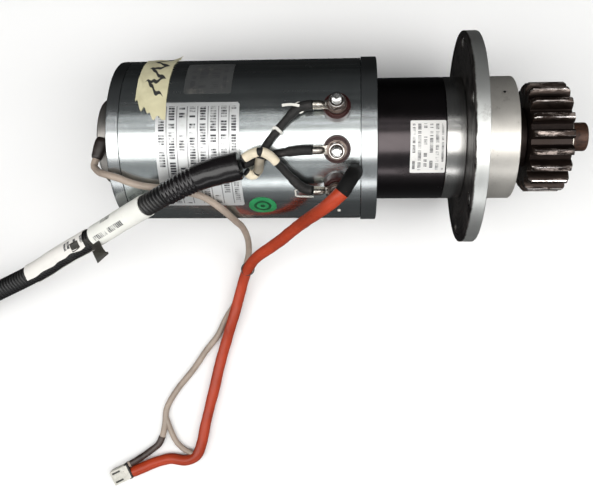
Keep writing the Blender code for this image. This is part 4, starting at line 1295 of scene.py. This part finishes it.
def build_sensor_cords():
    start = SHAFT @ GROMMET_ENDS[0].lerp(GROMMET_ENDS[1], 0.6)
    route = smooth_route([start] + SENSOR_CABLE_ROUTE[1:], 0.0020)
    cable_length = distances(route)[-1]
    cable = sweep("sensor_cable_skin", route, SENSOR_CABLE_R, "taupe_cable", 18, wobble=0.05)
    attach(cable, "sensor_cable")
    leaves, joins = tenths((-1289, -2035, 27), (-1080, -2315, 42))
    branch = sweep("sensor_branch_skin", smooth_route([leaves] + BRANCH_ROUTE + [joins], 0.0010),
                   BRANCH_R + 0.0003, "taupe_cable", 16, wobble=0.06)
    attach(branch, "sensor_branch")
    red_route = smooth_route(SLEEVE_ROUTE, 0.0015)

    def size(travelled):
        lumps = 0.00018 * noise.noise(Vector((travelled * 60, 0.5, 0.0)))
        return SLEEVE_R + 0.0005 * max(0.0, 1 - travelled / 0.035) + lumps

    sleeve = sweep("red_sleeve", red_route, size, "red_sleeve", 22, wobble=0.05)
    attach(sleeve, "sensor_sleeve")
    boot_route = smooth_route(SLEEVE_BOOT_ROUTE + SLEEVE_ROUTE[:3], 0.0010)
    boot = sweep("sleeve_boot_skin", boot_route, lambda travelled: 0.0049 - 0.0100 * travelled,
                 "boot_rubber", 24, wobble=0.07)
    attach(boot, "sleeve_boot")
    plug, plug_parts = build_sensor_plug()
    tie = band("sleeve_tie", red_route, distance_at_x(red_route, -0.0655), SLEEVE_R + 0.0002,
               "black_rubber")
    shrink = attach(sweep("plug_shrink", part_of(route, cable_length - 0.034, cable_length),
                          SENSOR_CABLE_R + 0.0002, "dark_wire", 18, wobble=0.12))
    round(distances(red_route)[-1], 2)


def build_sensor_plug():
    """A small white plug with a latch, a collar, two slots drawn as dark strips of painted shade,
    and contact holes in its front.
    """
    length, width, height = SENSOR_PLUG_SIZE
    place = (
        Matrix.Translation((*SENSOR_PLUG_CENTRE, height / 2 + FLOOR_CLEARANCE))
        @ Matrix.Rotation(SENSOR_PLUG_ANGLE, 4, "Z"))
    body = holed_box("plug", SENSOR_PLUG_SIZE, 0.0009, "plug_nylon", place,
                     (0.010, 0.0024, 0.0026), 0.0003,
                     [(length / 2 - 0.002, column * 0.0034, row * 0.0020)
                      for column in (-1, 0, 1) for row in (-1, 1)])
    attach(body, "sensor_plug")
    return body, small_boxes(place, [
        ("plug_latch", (0.0092, 0.0036, 0.0006), 0.0002, "plug_nylon",
         (0.0010, 0, height / 2)),
        # Two dark strips on the top: painted shade standing for the plug's slots.
        ("plug_slot_shade_left", (0.0062, 0.0014, 0.0004), 0.0001, "tape_flag",
         (0.0022, -0.0034, height / 2)),
        ("plug_slot_shade_right", (0.0062, 0.0014, 0.0004), 0.0001, "tape_flag",
         (0.0022, 0.0034, height / 2)),
        ("plug_collar", (0.0030, width + 0.0006, height - 0.0004), 0.0006, "black_rubber",
         (-length / 2 + 0.0006, 0, 0))])


# --- inner parts ------------------------------------------------------------------------


def finish_inner_nodes():
    """Give every CAD node that is still shown a detailed material."""
    finishes = {
        "laminations": "stator_core rotor_core",
        "copper_winding": "rear_winding front_winding",
        "green_board": "encoder_board",
        "black_rubber": "output_seal",
        "bright_steel":
            "rear_rotor_bearing front_rotor_bearing rear_output_bearing front_output_bearing "
            "encoder_disc rotor_shaft sun_gear pinion_key planet_gear_1 planet_gear_2 "
            "planet_gear_3 planet_pin_1 planet_pin_2 planet_pin_3",
    }
    for look, names in finishes.items():
        for name in names.split():
            for slot in frame["nodes"][name].material_slots:
                slot.material = FINISHES[look]


make_camera()
make_stage()
make_materials()
build_motor()
build_labels()
build_gearbox()
build_shaft()
build_tube_marks()
build_pinion()
for terminal_phase, terminal_angle in TERMINAL_ANGLES.items():
    build_terminal(terminal_phase, terminal_angle)
build_leads()
build_conduit()
build_sensor_cords()
finish_inner_nodes()
